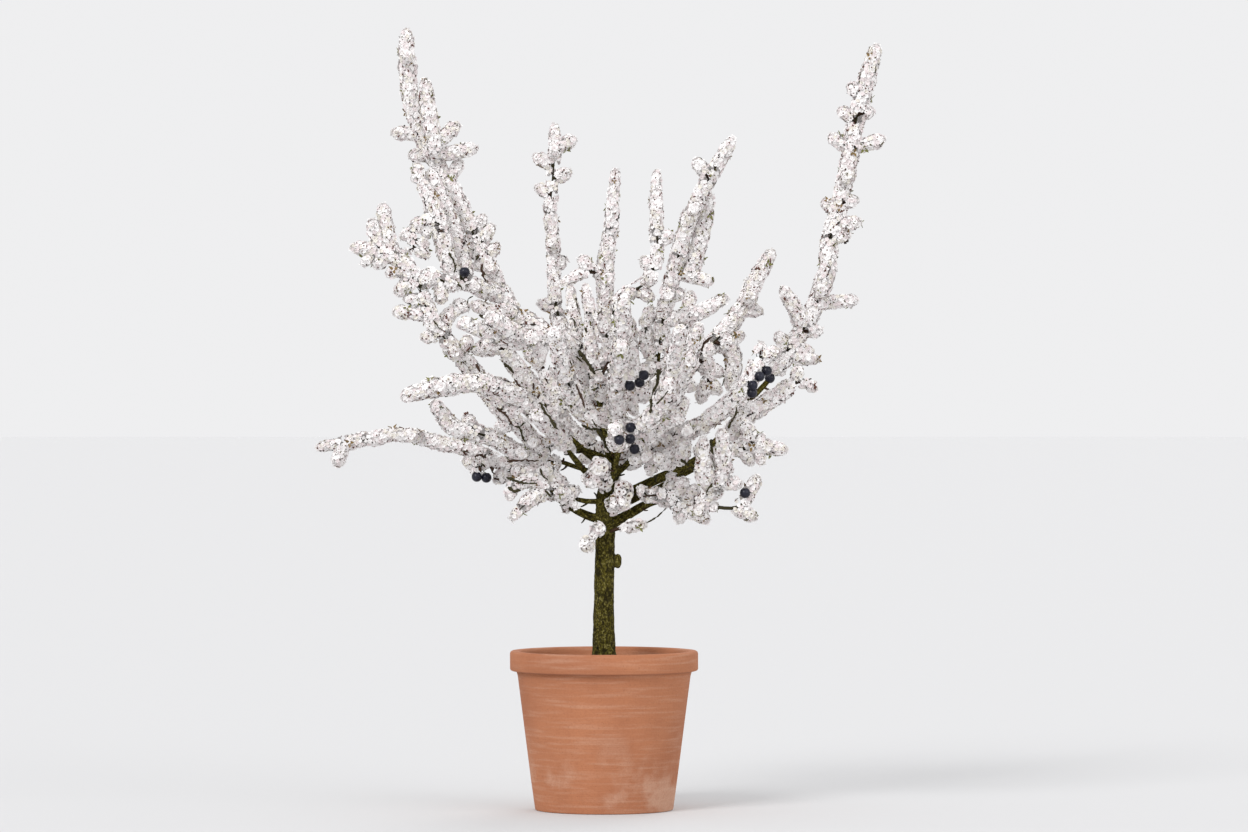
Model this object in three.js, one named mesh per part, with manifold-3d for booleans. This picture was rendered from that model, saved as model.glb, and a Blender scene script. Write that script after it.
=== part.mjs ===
// A cherry shrub in full blossom, with a few dark fruits, in a plain terracotta pot.
// Millimetres, +Z up. The origin is the middle of the pot's flat underside and -Y is the front.
import * as THREE from "three";
import { mergeVertices } from "three/addons/utils/BufferGeometryUtils.js";
import Module from "manifold-3d";

const wasm = await Module();
wasm.setup();

// Clearance between solids that touch on the real plant
const GAP = 0.3;

// Pot and soil
const POT_HEIGHT = 320;
const POT_FOOT_RADIUS = 140;
const POT_RIM_RADIUS = 190;
const POT_WALL = 13;
const POT_FLOOR = 14;
const POT_SIDES = 24;
const POT_EDGE = 4;
const RIM_HEIGHT = 42;
const RIM_STAND_OUT = 9;
const DRAIN_HOLES = 3;
const DRAIN_HOLE_RADIUS = 8;
const DRAIN_HOLE_RING = 75;
const DRAIN_HOLE_SIDES = 12;
const SOIL_DEPTH_BELOW_RIM = 25;
const SOIL_FALL = 8;
const SOIL_LEVEL_RADIUS = 45;

// Trunk and boughs
const TRUNK_SIDES = 12;
const TRUNK_RINGS = 12;
const BOUGH_SIDES = 7;
const BOUGH_RING_SPACING = 44;
const FLARE_RADIUS = 30;
const BURR_PLACE = [27, -4, 180];
const BURR_SIZE = [9, 9, 15];

// Shoots dressed in blossom
const SLEEVE = 42;
const CORE_SHARE = 0.9;
const CORE_SIDES = 5;
const CORE_RING_SPACING = 60;
const CORE_LUMP = 0.13;
const CORE_LEAST_RADIUS = 2.5;
const TWIG_RADIUS = 3.5;
const SWELL_LENGTH = 16;
const TIP_LENGTH = 75;
const TIP_SHARE = 0.7;
const BARE_START = 14;
const MOST_TWIG_SHARE = 0.27;
const MOST_BARE_SHARE = 0.45;
const BLUNT_LENGTH = 9;
const BLUNT_SHARE = 0.55;
const MOST_BLUNT_SHARE = 0.3;
const TIP_REACH = 7;
const SPRAY_SPACING = 136;
const SPRAY_WIDTH_SHARE = 0.66;
const SPRAY_DEPTH_SHARE = 0.36;
const GOLDEN_ANGLE = THREE.MathUtils.degToRad(137.5);
const SPUR_SHARE = 0.8;
const SPUR_RINGS = [{ share: 0.3, swell: 0.85 }, { share: 0.84, swell: 1 }];
const FOOT_SLIDE = 0.5;
const FOOT_LEAST = 22;
const ROOM_NUDGES = [-0.5, -0.25, 0, 0.25, 0.5];
const FIRST_SEED = 1009;
const SPACE_MARGIN = 2;
const AXIS_STEP = 8;
const FRAME_STEPS = 80;

// Fruit
const BERRY_RADIUS = 10.5;
const BERRY_DETAIL = 1;
const STALK_RADIUS = 1.6;
const STALK_SIDES = 3;

// The plant's places are [right, back, up] from the pot's rim above the middle of the pot.
// A trunk station is its place and its radius there.
const SOIL_LEVEL = -SOIL_DEPTH_BELOW_RIM;
const TRUNK = [
  { place: [0, 0, SOIL_LEVEL + GAP], radius: FLARE_RADIUS },
  { place: [0, 0, 0], radius: 23.5 },
  { place: [-1, 0, 60], radius: 21.5 },
  { place: [0, 0, 130], radius: 20 },
  { place: [2, 0, 200], radius: 19.5 },
  { place: [3, 0, 255], radius: 20 },
  { place: [2, 0, 315], radius: 17 },
  { place: [17, 0, 352], radius: 14 },
  { place: [22, 0, 385], radius: 12 },
  { place: [20, 4, 436], radius: 8 },
];

// Each limb leaves the trunk at a height, follows its bough to the bough's tip, and goes on from there as
// the stem of its mass. Sides are shoots that leave the stem or an earlier side, some of them bare at
// first, tips are the ends of short spurs as [right, up], and berries hang in front of the shoots.
const LIMBS = {
  left_long: {
    leaves: 262,
    thickness: [20, 11],
    bough: [[-40, 4, 274], [-75, 8, 293], [-112, 12, 321]],
    stem: [
      [-150, 18, 343], [-250, 30, 397], [-340, 38, 420],
      [-404, 44, 435], [-470, 50, 426], [-574, 60, 409],
    ],
    sides: [[[-232, 10, 380], [-262, -6, 362]]],
    tips: [[-538, 380], [-172, 352]],
    berries: [[-256, 350], [-237, 348]],
    bare: 70,
    sleeve: 35,
  },
  left_short: {
    leaves: 298,
    thickness: [13, 9],
    bough: [[-35, -22, 301], [-58, -38, 306]],
    stem: [[-104, -75, 322], [-148, -115, 305], [-166, -135, 288]],
    sides: [[[-140, -92, 345], [-182, -112, 332]]],
  },
  left_arch: {
    leaves: 330,
    thickness: [16, 11],
    bough: [[-34, -42, 358], [-66, -85, 396]],
    stem: [
      [-89, -115, 433], [-128, -165, 473], [-176, -210, 515],
      [-242, -252, 538], [-330, -288, 531], [-390, -305, 512],
    ],
    tips: [[-100, 475], [-190, 480]],
    sleeve: 46,
  },
  left_inner: {
    leaves: 352,
    thickness: [12, 9],
    bough: [[-45, -6, 366], [-83, -20, 379]],
    stem: [
      [-120, -40, 387], [-172, -60, 400], [-217, -80, 426],
      [-262, -95, 441], [-300, -105, 450], [-336, -120, 498],
    ],
    sides: [[[-112, -52, 366], [-140, -66, 358], [-176, -72, 362]], [[-104, -50, 350], [-80, -52, 338]]],
    tips: [[-272, 465]],
    bare: 30,
  },
  left_fan: {
    leaves: 378,
    thickness: [15, 11],
    bough: [[-30, -20, 400], [-84, -44, 412]],
    stem: [
      [-134, -66, 418], [-167, -84, 452], [-212, -108, 494], [-260, -135, 560],
      [-301, -160, 608], [-345, -180, 672], [-370, -190, 745],
    ],
    sides: [
      [[-402, -196, 782], [-450, -200, 800], [-494, -204, 807]],
      [[-350, -176, 750], [-296, -165, 730]],
      [[-316, -150, 664], [-288, -140, 690]],
    ],
    tips: [[-437, 882], [-457, 852], [-404, 722], [-406, 680], [-352, 630], [-205, 452], [-446, 776]],
  },
  left_middle: {
    leaves: 362,
    thickness: [15, 11],
    bough: [[-32, 4, 395], [-77, 18, 436], [-104, 24, 467]],
    stem: [[-124, 28, 500], [-149, 28, 534], [-172, 26, 564], [-196, 22, 597], [-214, 20, 628]],
    sides: [[[-84, 32, 489], [-107, 34, 534], [-125, 36, 575]]],
    tips: [[-165, 500], [-258, 606], [-152, 600], [-184, 634]],
    sleeve: 44,
  },
  left_leader: {
    leaves: 402,
    thickness: [14, 11],
    bough: [[-6, -6, 437], [-28, 6, 470], [-38, 16, 495], [-53, 30, 535]],
    stem: [
      [-78, 42, 590], [-112, 55, 634], [-186, 70, 688], [-240, 85, 788], [-300, 98, 912],
      [-364, 110, 1030], [-394, 116, 1118], [-403, 120, 1250],
    ],
    sides: [
      [[-340, 74, 1010], [-354, 66, 1080], [-362, 60, 1146]],
      [[-250, 40, 730], [-306, 20, 765], [-323, 14, 823], [-347, 16, 903], [-374, 20, 952]],
      [[-284, 52, 780], [-306, 48, 849], [-328, 44, 909], [-350, 42, 962]],
      [[-354, 14, 866], [-380, 12, 846], [-384, 10, 808]],
      [[-215, 44, 680], [-262, 28, 695]],
    ],
    tips: [[-420, 1047], [-385, 1000], [-268, 1012], [-302, 1056], [-400, 836], [-232, 850], [-222, 812]],
    berries: [[-281, 762]],
    sleeve: 42,
  },
  front_left: {
    leaves: 352,
    thickness: [15, 11],
    bough: [[6, -52, 420], [-14, -90, 520], [-40, -112, 588]],
    stem: [[-60, -140, 608], [-103, -190, 628], [-145, -235, 628], [-185, -275, 643], [-224, -308, 670]],
    sides: [[[-170, -240, 622], [-225, -262, 640], [-268, -280, 655]]],
    tips: [[-130, 580], [-236, 612]],
    sleeve: 46,
  },
  back_left: {
    leaves: 362,
    thickness: [15, 11],
    bough: [[-8, 72, 450], [-42, 145, 550]],
    stem: [
      [-80, 215, 632], [-100, 250, 700], [-107, 272, 830],
      [-112, 282, 890], [-104, 295, 1000], [-103, 300, 1064],
    ],
    sides: [[[-58, 190, 640], [-66, 210, 700], [-70, 215, 730]]],
    tips: [[-70, 1037], [-136, 1001], [-80, 970], [-132, 938], [-88, 788], [-125, 700]],
    sleeve: 33,
  },
  front: {
    leaves: 416,
    thickness: [13, 10],
    bough: [[26, -66, 486], [14, -130, 565]],
    stem: [
      [2, -195, 680], [8, -228, 755], [4, -238, 780],
      [12, -247, 820], [17, -257, 880], [23, -264, 953],
    ],
    sides: [[[-30, -240, 758], [-78, -248, 738]], [[-10, -140, 552], [-26, -160, 610], [-30, -172, 668]]],
    tips: [[-40, 780], [30, 650]],
    sleeve: 31,
  },
  back_right: {
    leaves: 388,
    thickness: [13, 10],
    bough: [[24, 52, 470], [20, 100, 580]],
    stem: [
      [14, 130, 674], [40, 145, 716], [84, 160, 742],
      [106, 168, 790], [106, 174, 880], [107, 180, 965],
    ],
    sides: [[[-14, 124, 640], [-32, 130, 700], [-38, 134, 732]]],
    tips: [[130, 837], [84, 786]],
    sleeve: 33,
  },
  centre_right: {
    leaves: 396,
    thickness: [15, 11],
    bough: [[66, -22, 434], [102, -45, 490], [106, -68, 560]],
    stem: [
      [121, -130, 684], [144, -175, 776], [163, -205, 848],
      [198, -240, 924], [224, -262, 970], [252, -275, 1016],
    ],
    sides: [
      [[168, -168, 761], [193, -190, 830], [209, -222, 905]],
      [[181, -140, 677], [240, -150, 706]],
      [[90, -90, 600], [84, -110, 660]],
      [[66, -84, 560], [52, -100, 620], [54, -104, 660]],
    ],
    tips: [[186, 972], [205, 742], [160, 620]],
    berries: [[79, 555], [71, 540], [52, 534]],
    sleeve: 38,
  },
  right_fan: {
    leaves: 368,
    thickness: [14, 10],
    bough: [[72, 20, 410], [118, 42, 462]],
    stem: [
      [152, 80, 540], [188, 118, 590], [223, 148, 620], [257, 170, 659],
      [284, 182, 693], [310, 195, 749], [342, 205, 803],
    ],
    sides: [[[214, 142, 566], [196, 132, 505]], [[256, 160, 610], [264, 160, 570], [256, 156, 530]]],
    tips: [[312, 685], [185, 640], [226, 620]],
  },
  right_front: {
    leaves: 345,
    thickness: [13, 10],
    bough: [[58, -60, 390], [106, -102, 462]],
    stem: [[140, -150, 513], [152, -180, 548], [167, -215, 582], [186, -252, 650]],
    tips: [[110, 540]],
    sleeve: 42,
  },
  right_leader: {
    leaves: 300,
    thickness: [23, 11],
    bough: [[60, 8, 322], [112, 20, 347], [184, 36, 381], [240, 48, 435], [280, 56, 486], [330, 66, 541]],
    stem: [
      [371, 72, 597], [418, 80, 677], [452, 88, 768], [456, 92, 822], [472, 96, 879],
      [492, 98, 965], [510, 100, 1065], [526, 100, 1128], [551, 100, 1218],
    ],
    sides: [[[385, 60, 690], [363, 54, 726]]],
    tips: [
      [504, 1136], [484, 1088], [536, 1088], [466, 1035], [558, 1031], [452, 902], [504, 908], [510, 864],
      [502, 706], [412, 603], [424, 587], [430, 644],
    ],
    sleeve: 42,
  },
  right_outer: {
    leaves: 280,
    thickness: [15, 10],
    bough: [[100, -34, 324], [180, -62, 366]],
    stem: [[240, -76, 402], [287, -84, 413], [359, -95, 406]],
    sides: [
      [[272, -60, 462], [334, -34, 504], [374, -24, 532], [410, -20, 545]],
      [[290, -100, 440], [274, -104, 462]],
    ],
    tips: [[311, 427], [290, 386]],
  },
  right_low: {
    leaves: 248,
    thickness: [24, 13],
    bough: [[46, -8, 272], [98, -25, 300], [136, -38, 303]],
    stem: [
      [160, -60, 290], [186, -85, 284], [208, -102, 312],
      [236, -135, 358], [238, -162, 405], [233, -172, 441],
    ],
    sides: [
      [[202, -140, 350], [197, -168, 425]],
      { bare: 60, points: [[218, -97, 292], [262, -106, 290], [286, -112, 306]] },
      [[130, -72, 314], [84, -72, 312]],
    ],
    tips: [[152, 270], [200, 268], [294, 274], [302, 344], [264, 338]],
    berries: [[281, 320]],
  },
  front_low: {
    leaves: 312,
    thickness: [14, 10],
    bough: [[20, -62, 356], [30, -110, 425]],
    stem: [[25, -200, 510], [35, -310, 610], [40, -395, 700]],
    sides: [
      [[-40, -190, 480], [-75, -300, 560], [-95, -385, 640]],
      [[72, -190, 450], [122, -270, 520], [150, -395, 645]],
      [[30, -210, 420], [20, -310, 450]],
    ],
    tips: [[60, 560]],
    berries: [[53, 451], [52, 429], [31, 428], [61, 407]],
  },
  back_high: {
    leaves: 345,
    thickness: [14, 10],
    bough: [[22, 64, 400], [24, 120, 450]],
    stem: [[28, 240, 560], [4, 350, 680], [2, 420, 780], [8, 450, 855]],
    sides: [
      [[-50, 230, 520], [-85, 340, 610], [-100, 430, 690]],
      [[90, 240, 520], [150, 340, 610], [175, 420, 690]],
    ],
    tips: [[60, 640], [0, 600]],
  },
  back_low: {
    leaves: 300,
    thickness: [14, 10],
    bough: [[8, 60, 342], [5, 110, 375]],
    stem: [[-30, 190, 410], [-80, 290, 450], [-110, 380, 505]],
    sides: [[[60, 190, 400], [130, 290, 440], [165, 380, 500]]],
  },
};

// Masses with no bough of their own: short shoots that grow straight out of the trunk.
const TRUNK_MASSES = {
  right_spray: {
    leaves: 372,
    stem: [
      [60, -28, 386], [121, -50, 424], [197, -95, 456], [235, -102, 486], [274, -108, 522],
      [298, -104, 560], [312, -98, 596], [314, -96, 612],
    ],
    sides: [[[96, -60, 396], [128, -78, 374]], [[160, -90, 408], [152, -96, 382]]],
    berries: [[310, 552], [325, 563], [335, 548], [296, 534], [295, 519]],
  },
  fork_left_tuft: { leaves: 250, stem: [[-14, -34, 244], [-32, -44, 218]] },
  fork_right_tuft: { leaves: 238, stem: [[36, -40, 248], [76, -50, 254]] },
  trunk_tuft: { leaves: 288, stem: [[28, -38, 300], [44, -54, 322]], sleeve: 52 },
  short_left_tuft: { leaves: 336, stem: [[0, -52, 346], [-10, -78, 374]] },
};

// A repeatable stream of numbers from 0 to 1
function seeded(seed) {
  let state = seed;
  return () => {
    state = (state * 48271) % 2147483647;
    return state / 2147483647;
  };
}

function vector(place) {
  return new THREE.Vector3(...place);
}

function solidFrom(geometry) {
  const bare = geometry.clone();
  bare.deleteAttribute("normal");
  bare.deleteAttribute("uv");
  const merged = mergeVertices(bare, 1e-3);
  const corners = merged.index.array;
  const faces = [];
  for (let i = 0; i < corners.length; i += 3) {
    const [a, b, c] = [corners[i], corners[i + 1], corners[i + 2]];
    if (a !== b && b !== c && a !== c) faces.push(a, b, c);
  }
  return new wasm.Manifold(
    new wasm.Mesh({
      numProp: 3,
      vertProperties: new Float32Array(merged.attributes.position.array),
      triVerts: new Uint32Array(faces),
    }),
  );
}

function geometryFrom(solid) {
  const mesh = solid.getMesh();
  const geometry = new THREE.BufferGeometry();
  geometry.setAttribute("position", new THREE.BufferAttribute(mesh.vertProperties, 3));
  geometry.setIndex(new THREE.BufferAttribute(mesh.triVerts, 1));
  geometry.computeVertexNormals();
  return geometry;
}

// The largest body of a cut solid, without the scraps
function largest(solid) {
  const bodies = solid.decompose();
  return bodies.reduce((best, body) => (body.volume() > best.volume() ? body : best));
}

// A lathe whose stations, each a share of the way along and a radius, are bent along a curve.
// It closes on the curve at the first and last share, flat where a station stands there.
function bentLathe(curve, stations, sides) {
  const outline = [
    new THREE.Vector2(0, 0),
    ...stations.map(({ share, radius }) => new THREE.Vector2(radius, share)),
    new THREE.Vector2(0, 1),
  ];
  const geometry = new THREE.LatheGeometry(outline, sides);
  const frames = curve.computeFrenetFrames(FRAME_STEPS);
  const place = geometry.attributes.position;
  for (let i = 0; i < place.count; i++) {
    const share = place.getY(i);
    const step = Math.round(share * FRAME_STEPS);
    const moved = curve
      .getPointAt(share)
      .addScaledVector(frames.normals[step], place.getX(i))
      .addScaledVector(frames.binormals[step], -place.getZ(i));
    place.setXYZ(i, moved.x, moved.y, moved.z);
  }
  return solidFrom(geometry);
}

// A limb's radius at a share of its length, from evenly spread radii
function taper(radii, share) {
  const along = share * (radii.length - 1);
  const index = Math.min(Math.floor(along), radii.length - 2);
  return THREE.MathUtils.lerp(radii[index], radii[index + 1], along - index);
}

function nearestShare(curve, point) {
  let best = 0;
  for (let i = 1; i <= FRAME_STEPS; i++) {
    const share = i / FRAME_STEPS;
    if (curve.getPointAt(share).distanceTo(point) < curve.getPointAt(best).distanceTo(point)) best = share;
  }
  return best;
}

function nearestAway(curve, point) {
  return curve.getPointAt(nearestShare(curve, point)).distanceTo(point);
}

function nearestShoot(shoots, point) {
  return shoots.reduce((best, shoot) =>
    nearestAway(shoot.curve, point) < nearestAway(best.curve, point) ? shoot : best,
  );
}

// The place where a side shoot leaves its parent: below the point nearest to its next point
function footOn(curve, point) {
  const nearest = nearestShare(curve, point);
  const away = curve.getPointAt(nearest).distanceTo(point);
  const along = Math.max(FOOT_LEAST, nearest * curve.getLength() - FOOT_SLIDE * away);
  return curve.getPointAt(Math.min(1, along / curve.getLength()));
}

// A spur's tip stands at the depth of the shoot that carries it
function tipPlace(curve, [right, up]) {
  let best = curve.getPointAt(0);
  for (let i = 1; i <= FRAME_STEPS; i++) {
    const point = curve.getPointAt(i / FRAME_STEPS);
    const away = Math.hypot(point.x - right, point.z - up);
    if (away < Math.hypot(best.x - right, best.z - up)) best = point;
  }
  return new THREE.Vector3(right, best.y, up);
}

const trunkCurve = new THREE.CatmullRomCurve3(TRUNK.map(({ place }) => vector(place)), false, "centripetal");

function trunkRadius(height) {
  const above = TRUNK.findIndex(({ place }) => place[2] > height);
  if (above < 1) return TRUNK.at(above === 0 ? 0 : -1).radius;
  const [low, high] = [TRUNK[above - 1], TRUNK[above]];
  const share = (height - low.place[2]) / (high.place[2] - low.place[2]);
  return THREE.MathUtils.lerp(low.radius, high.radius, share);
}

function trunkPoint(height) {
  const share = (height - SOIL_LEVEL) / (TRUNK.at(-1).place[2] - SOIL_LEVEL);
  let best = trunkCurve.getPoint(share);
  for (let i = 0; i <= FRAME_STEPS; i++) {
    const point = trunkCurve.getPointAt(i / FRAME_STEPS);
    if (Math.abs(point.z - height) < Math.abs(best.z - height)) best = point;
  }
  return best;
}

function trunkSolid(extra) {
  const stations = [];
  for (let i = 0; i <= TRUNK_RINGS; i++) {
    const share = i / TRUNK_RINGS;
    stations.push({ share, radius: trunkRadius(trunkCurve.getPointAt(share).z) + extra });
  }
  const burr = new THREE.IcosahedronGeometry(1, 1);
  burr.scale(...BURR_SIZE.map((size) => size + extra));
  burr.translate(...BURR_PLACE);
  return bentLathe(trunkCurve, stations, TRUNK_SIDES).add(solidFrom(burr));
}

const trunkGrown = trunkSolid(GAP);

// A bough's round solid, grown by some extra in radius and past its tip
function boughRound(curve, radii, extra) {
  const tip = curve.getPointAt(1).addScaledVector(curve.getTangentAt(1), extra);
  const reached = new THREE.CatmullRomCurve3([...curve.points.slice(0, -1), tip], false, "centripetal");
  const rings = Math.max(3, Math.round(curve.getLength() / BOUGH_RING_SPACING));
  const stations = [];
  for (let i = 0; i <= rings; i++) stations.push({ share: i / rings, radius: taper(radii, i / rings) + extra });
  return bentLathe(reached, stations, BOUGH_SIDES);
}

// Boughs: each one tapering limb, cut clear of the trunk
function makeBough(name, limb) {
  const points = [trunkPoint(limb.leaves), ...limb.bough.map(vector)];
  const curve = new THREE.CatmullRomCurve3(points, false, "centripetal");
  const radii = limb.thickness.map((thickness) => thickness / 2);
  const solid = largest(boughRound(curve, radii, 0).subtract(trunkGrown));
  return { name: "bough_" + name, owner: name, curve, radii, solid, grown: boughRound(curve, radii, GAP) };
}

// A shoot is a curve with a sleeve of blossom round it, bare over its first stretch. The sleeve's round
// end stands out past the last point.
function makeShoot(mass, points, sleeve, bare) {
  const [before, last] = points.slice(-2);
  const reached = last.clone().addScaledVector(last.clone().sub(before).normalize(), TIP_REACH);
  const curve = new THREE.CatmullRomCurve3([...points.slice(0, -1), reached], false, "centripetal");
  return { mass, curve, length: curve.getLength(), sleeve, bare };
}

// The sleeve's width narrows towards the tip
function sleeveAt(shoot, share) {
  const toTip = (1 - share) * shoot.length;
  return shoot.sleeve * THREE.MathUtils.lerp(TIP_SHARE, 1, Math.min(1, toTip / TIP_LENGTH));
}

function shootsOf(name, mass, foot) {
  const sleeve = mass.sleeve ?? SLEEVE;
  const stem = makeShoot(name, [foot, ...mass.stem.map(vector)], sleeve, mass.bare ?? BARE_START);
  const shoots = [stem];
  for (const side of mass.sides ?? []) {
    const points = (side.points ?? side).map(vector);
    const foot = footOn(nearestShoot(shoots, points[0]).curve, points[0]);
    shoots.push(makeShoot(name, [foot, ...points], sleeve, side.bare ?? 0));
  }
  const spurs = (mass.tips ?? []).map((tip) => {
    const places = shoots.map((shoot) => tipPlace(shoot.curve, tip));
    const parent = shoots.reduce((best, shoot, i) => {
      const away = nearestAway(shoot.curve, places[i]);
      return away < best.away ? { shoot, away, place: places[i] } : best;
    }, { away: Infinity });
    const points = [footOn(parent.shoot.curve, parent.place), parent.place];
    return { ...makeShoot(name, points, SPUR_SHARE * sleeve, 0), isSpur: true };
  });
  return [...shoots, ...spurs];
}

const boughs = Object.entries(LIMBS).map(([name, limb]) => makeBough(name, limb));
const masses = [];
for (const [name, limb] of Object.entries(LIMBS)) {
  const bough = boughs.find(({ owner }) => owner === name);
  const shoots = shootsOf(name, limb, bough.curve.getPointAt(1));
  masses.push({ name, limb, shoots, footRadius: bough.radii[1], carrier: bough.grown });
}
for (const [name, limb] of Object.entries(TRUNK_MASSES)) {
  const shoots = shootsOf(name, limb, trunkPoint(limb.leaves));
  masses.push({ name, limb, shoots, footRadius: TWIG_RADIUS, carrier: trunkGrown, onTrunk: true });
}

// Points along every shoot and limb, by which each mass keeps to its own space
const axisPoints = [];
for (const { name, shoots } of masses) {
  for (const { curve, length } of shoots) {
    const steps = Math.ceil(length / AXIS_STEP);
    for (let i = 0; i <= steps; i++) axisPoints.push({ mass: name, point: curve.getPointAt(i / steps) });
  }
}
const limbPoints = [];
for (const { owner, curve, radii } of boughs) {
  const steps = Math.ceil(curve.getLength() / AXIS_STEP);
  for (let i = 0; i <= steps; i++) {
    limbPoints.push({ owner, point: curve.getPointAt(i / steps), radius: taper(radii, i / steps) });
  }
}
for (let i = 0; i <= FRAME_STEPS; i++) {
  const point = trunkCurve.getPointAt(i / FRAME_STEPS);
  limbPoints.push({ owner: "trunk", point, radius: trunkRadius(point.z) });
}

// How much radius a core may have at a point: half the way to another mass, and short of any limb
function roomAt(mass, point) {
  let room = Infinity;
  for (const other of axisPoints) {
    if (other.mass !== mass.name) room = Math.min(room, other.point.distanceTo(point) / 2);
  }
  for (const other of limbPoints) {
    const own = other.owner === mass.name || (mass.onTrunk && other.owner === "trunk");
    if (!own) room = Math.min(room, other.point.distanceTo(point) - other.radius);
  }
  return room - SPACE_MARGIN;
}

function coreOf(mass, shoot) {
  const stations = [];
  const shares = [0];
  if (shoot.bare > 0) {
    shares.push(Math.min(MOST_TWIG_SHARE, shoot.bare / shoot.length));
    shares.push(Math.min(MOST_BARE_SHARE, (shoot.bare + SWELL_LENGTH) / shoot.length));
  }
  const start = shares.at(-1);
  const blunt = 1 - Math.min(MOST_BLUNT_SHARE, BLUNT_LENGTH / shoot.length);
  const rings = Math.max(1, Math.round(((blunt - start) * shoot.length) / CORE_RING_SPACING));
  for (let i = 1; i <= rings; i++) shares.push(start + ((blunt - start) * i) / rings);
  shares.push(1);
  for (const [index, share] of shares.entries()) {
    const lump = (index % 2 === 0 ? CORE_LUMP : -CORE_LUMP) * (0.5 + mass.random());
    const wanted = 0.5 * CORE_SHARE * sleeveAt(shoot, share) * (1 + lump);
    let room = Infinity;
    for (const nudge of ROOM_NUDGES) {
      const near = THREE.MathUtils.clamp(share + (nudge * CORE_RING_SPACING) / shoot.length, 0, 1);
      room = Math.min(room, roomAt(mass, shoot.curve.getPointAt(near)));
    }
    const core = Math.max(CORE_LEAST_RADIUS, Math.min(wanted, room));
    let radius = core;
    if (share < start) radius = share === 0 ? mass.footRadius : Math.min(TWIG_RADIUS, core);
    if (share === 1) radius = BLUNT_SHARE * core;
    stations.push({ share, radius });
  }
  shoot.stations = stations;
  return bentLathe(shoot.curve, stations, CORE_SIDES);
}

// A spur is blunt and short: two rings between its ends
function spurOf(mass, spur) {
  spur.stations = SPUR_RINGS.map(({ share, swell }) => {
    const wanted = 0.5 * swell * sleeveAt(spur, share);
    const room = roomAt(mass, spur.curve.getPointAt(share));
    return { share, radius: Math.max(CORE_LEAST_RADIUS, Math.min(wanted, room)) };
  });
  return bentLathe(spur.curve, spur.stations, CORE_SIDES);
}

function coreRadius(shoot, share) {
  if (shoot.isSpur) return Math.max(...shoot.stations.map(({ radius }) => radius));
  const above = Math.max(1, shoot.stations.findIndex((station) => station.share >= share));
  const [low, high] = [shoot.stations[above - 1], shoot.stations[above]];
  return THREE.MathUtils.lerp(low.radius, high.radius, (share - low.share) / (high.share - low.share));
}

for (const [index, mass] of masses.entries()) {
  mass.random = seeded(FIRST_SEED + index);
  mass.pieces = mass.shoots.map((shoot) => (shoot.isSpur ? spurOf(mass, shoot) : coreOf(mass, shoot)));
}
const corePoints = [];
for (const { name, shoots } of masses) {
  for (const shoot of shoots) {
    const steps = Math.ceil(shoot.length / AXIS_STEP);
    for (let i = 0; i <= steps; i++) {
      const radius = coreRadius(shoot, i / steps);
      corePoints.push({ mass: name, point: shoot.curve.getPointAt(i / steps), radius });
    }
  }
}

// Blossom: flat eight-faced sprays on a spiral, sunk into the core, skipped where they would leave the space
const placed = [];
function isFree(mass, centre, reach) {
  const clear = ({ point, radius }) => point.distanceTo(centre) > radius + reach + SPACE_MARGIN;
  return (
    limbPoints.every(clear) &&
    corePoints.every((core) => core.mass === mass.name || clear(core)) &&
    placed.every((spray) => spray.mass === mass.name || clear(spray))
  );
}

function sprayAt(centre, outward, along, width, depth) {
  const spray = new THREE.OctahedronGeometry(1);
  spray.scale(width, width, depth);
  const across = new THREE.Vector3().crossVectors(along, outward);
  const turned = new THREE.Matrix4().makeBasis(across, along, outward).setPosition(centre);
  spray.applyMatrix4(turned);
  return solidFrom(spray);
}

function dress(mass, shoot) {
  const frames = shoot.curve.computeFrenetFrames(FRAME_STEPS);
  let angle = mass.random() * Math.PI * 2;
  for (let at = shoot.bare + SWELL_LENGTH; at < shoot.length; at += SPRAY_SPACING) {
    const share = at / shoot.length;
    const step = Math.round(share * FRAME_STEPS);
    const sleeve = sleeveAt(shoot, share);
    angle += GOLDEN_ANGLE;
    const outward = frames.normals[step].clone().multiplyScalar(Math.cos(angle));
    outward.addScaledVector(frames.binormals[step], Math.sin(angle));
    const depth = 0.5 * SPRAY_DEPTH_SHARE * sleeve;
    const width = 0.5 * SPRAY_WIDTH_SHARE * sleeve;
    const centre = shoot.curve.getPointAt(share).addScaledVector(outward, 0.5 * sleeve - depth);
    if (!isFree(mass, centre, width)) continue;
    placed.push({ mass: mass.name, point: centre, radius: width });
    mass.pieces.push(sprayAt(centre, outward, frames.tangents[step], width, depth));
  }
}

// A fruit hangs in front of the nearest shoot, on a short stalk
function hangBerry(mass, [right, up]) {
  let axis = null;
  for (const { curve } of mass.shoots) {
    const point = tipPlace(curve, [right, up]);
    const nearest = curve.getPointAt(nearestShare(curve, point));
    const away = nearest.distanceTo(point);
    if (!axis || away < axis.away) axis = { nearest, away };
  }
  const centre = new THREE.Vector3(right, axis.nearest.y - 0.5 * SLEEVE, up);
  const berry = new THREE.OctahedronGeometry(BERRY_RADIUS, BERRY_DETAIL);
  berry.translate(centre.x, centre.y, centre.z);
  const stalk = new THREE.LineCurve3(axis.nearest, centre);
  const stations = [{ share: 0, radius: STALK_RADIUS }, { share: 1, radius: STALK_RADIUS }];
  placed.push({ mass: mass.name, point: centre, radius: BERRY_RADIUS });
  mass.pieces.push(bentLathe(stalk, stations, STALK_SIDES), solidFrom(berry));
}

for (const mass of masses) (mass.limb.berries ?? []).forEach((place) => hangBerry(mass, place));
for (const mass of masses) {
  for (const shoot of mass.shoots.filter(({ isSpur }) => !isSpur)) dress(mass, shoot);
  mass.solid = largest(wasm.Manifold.union(mass.pieces).subtract(mass.carrier));
}

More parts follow.
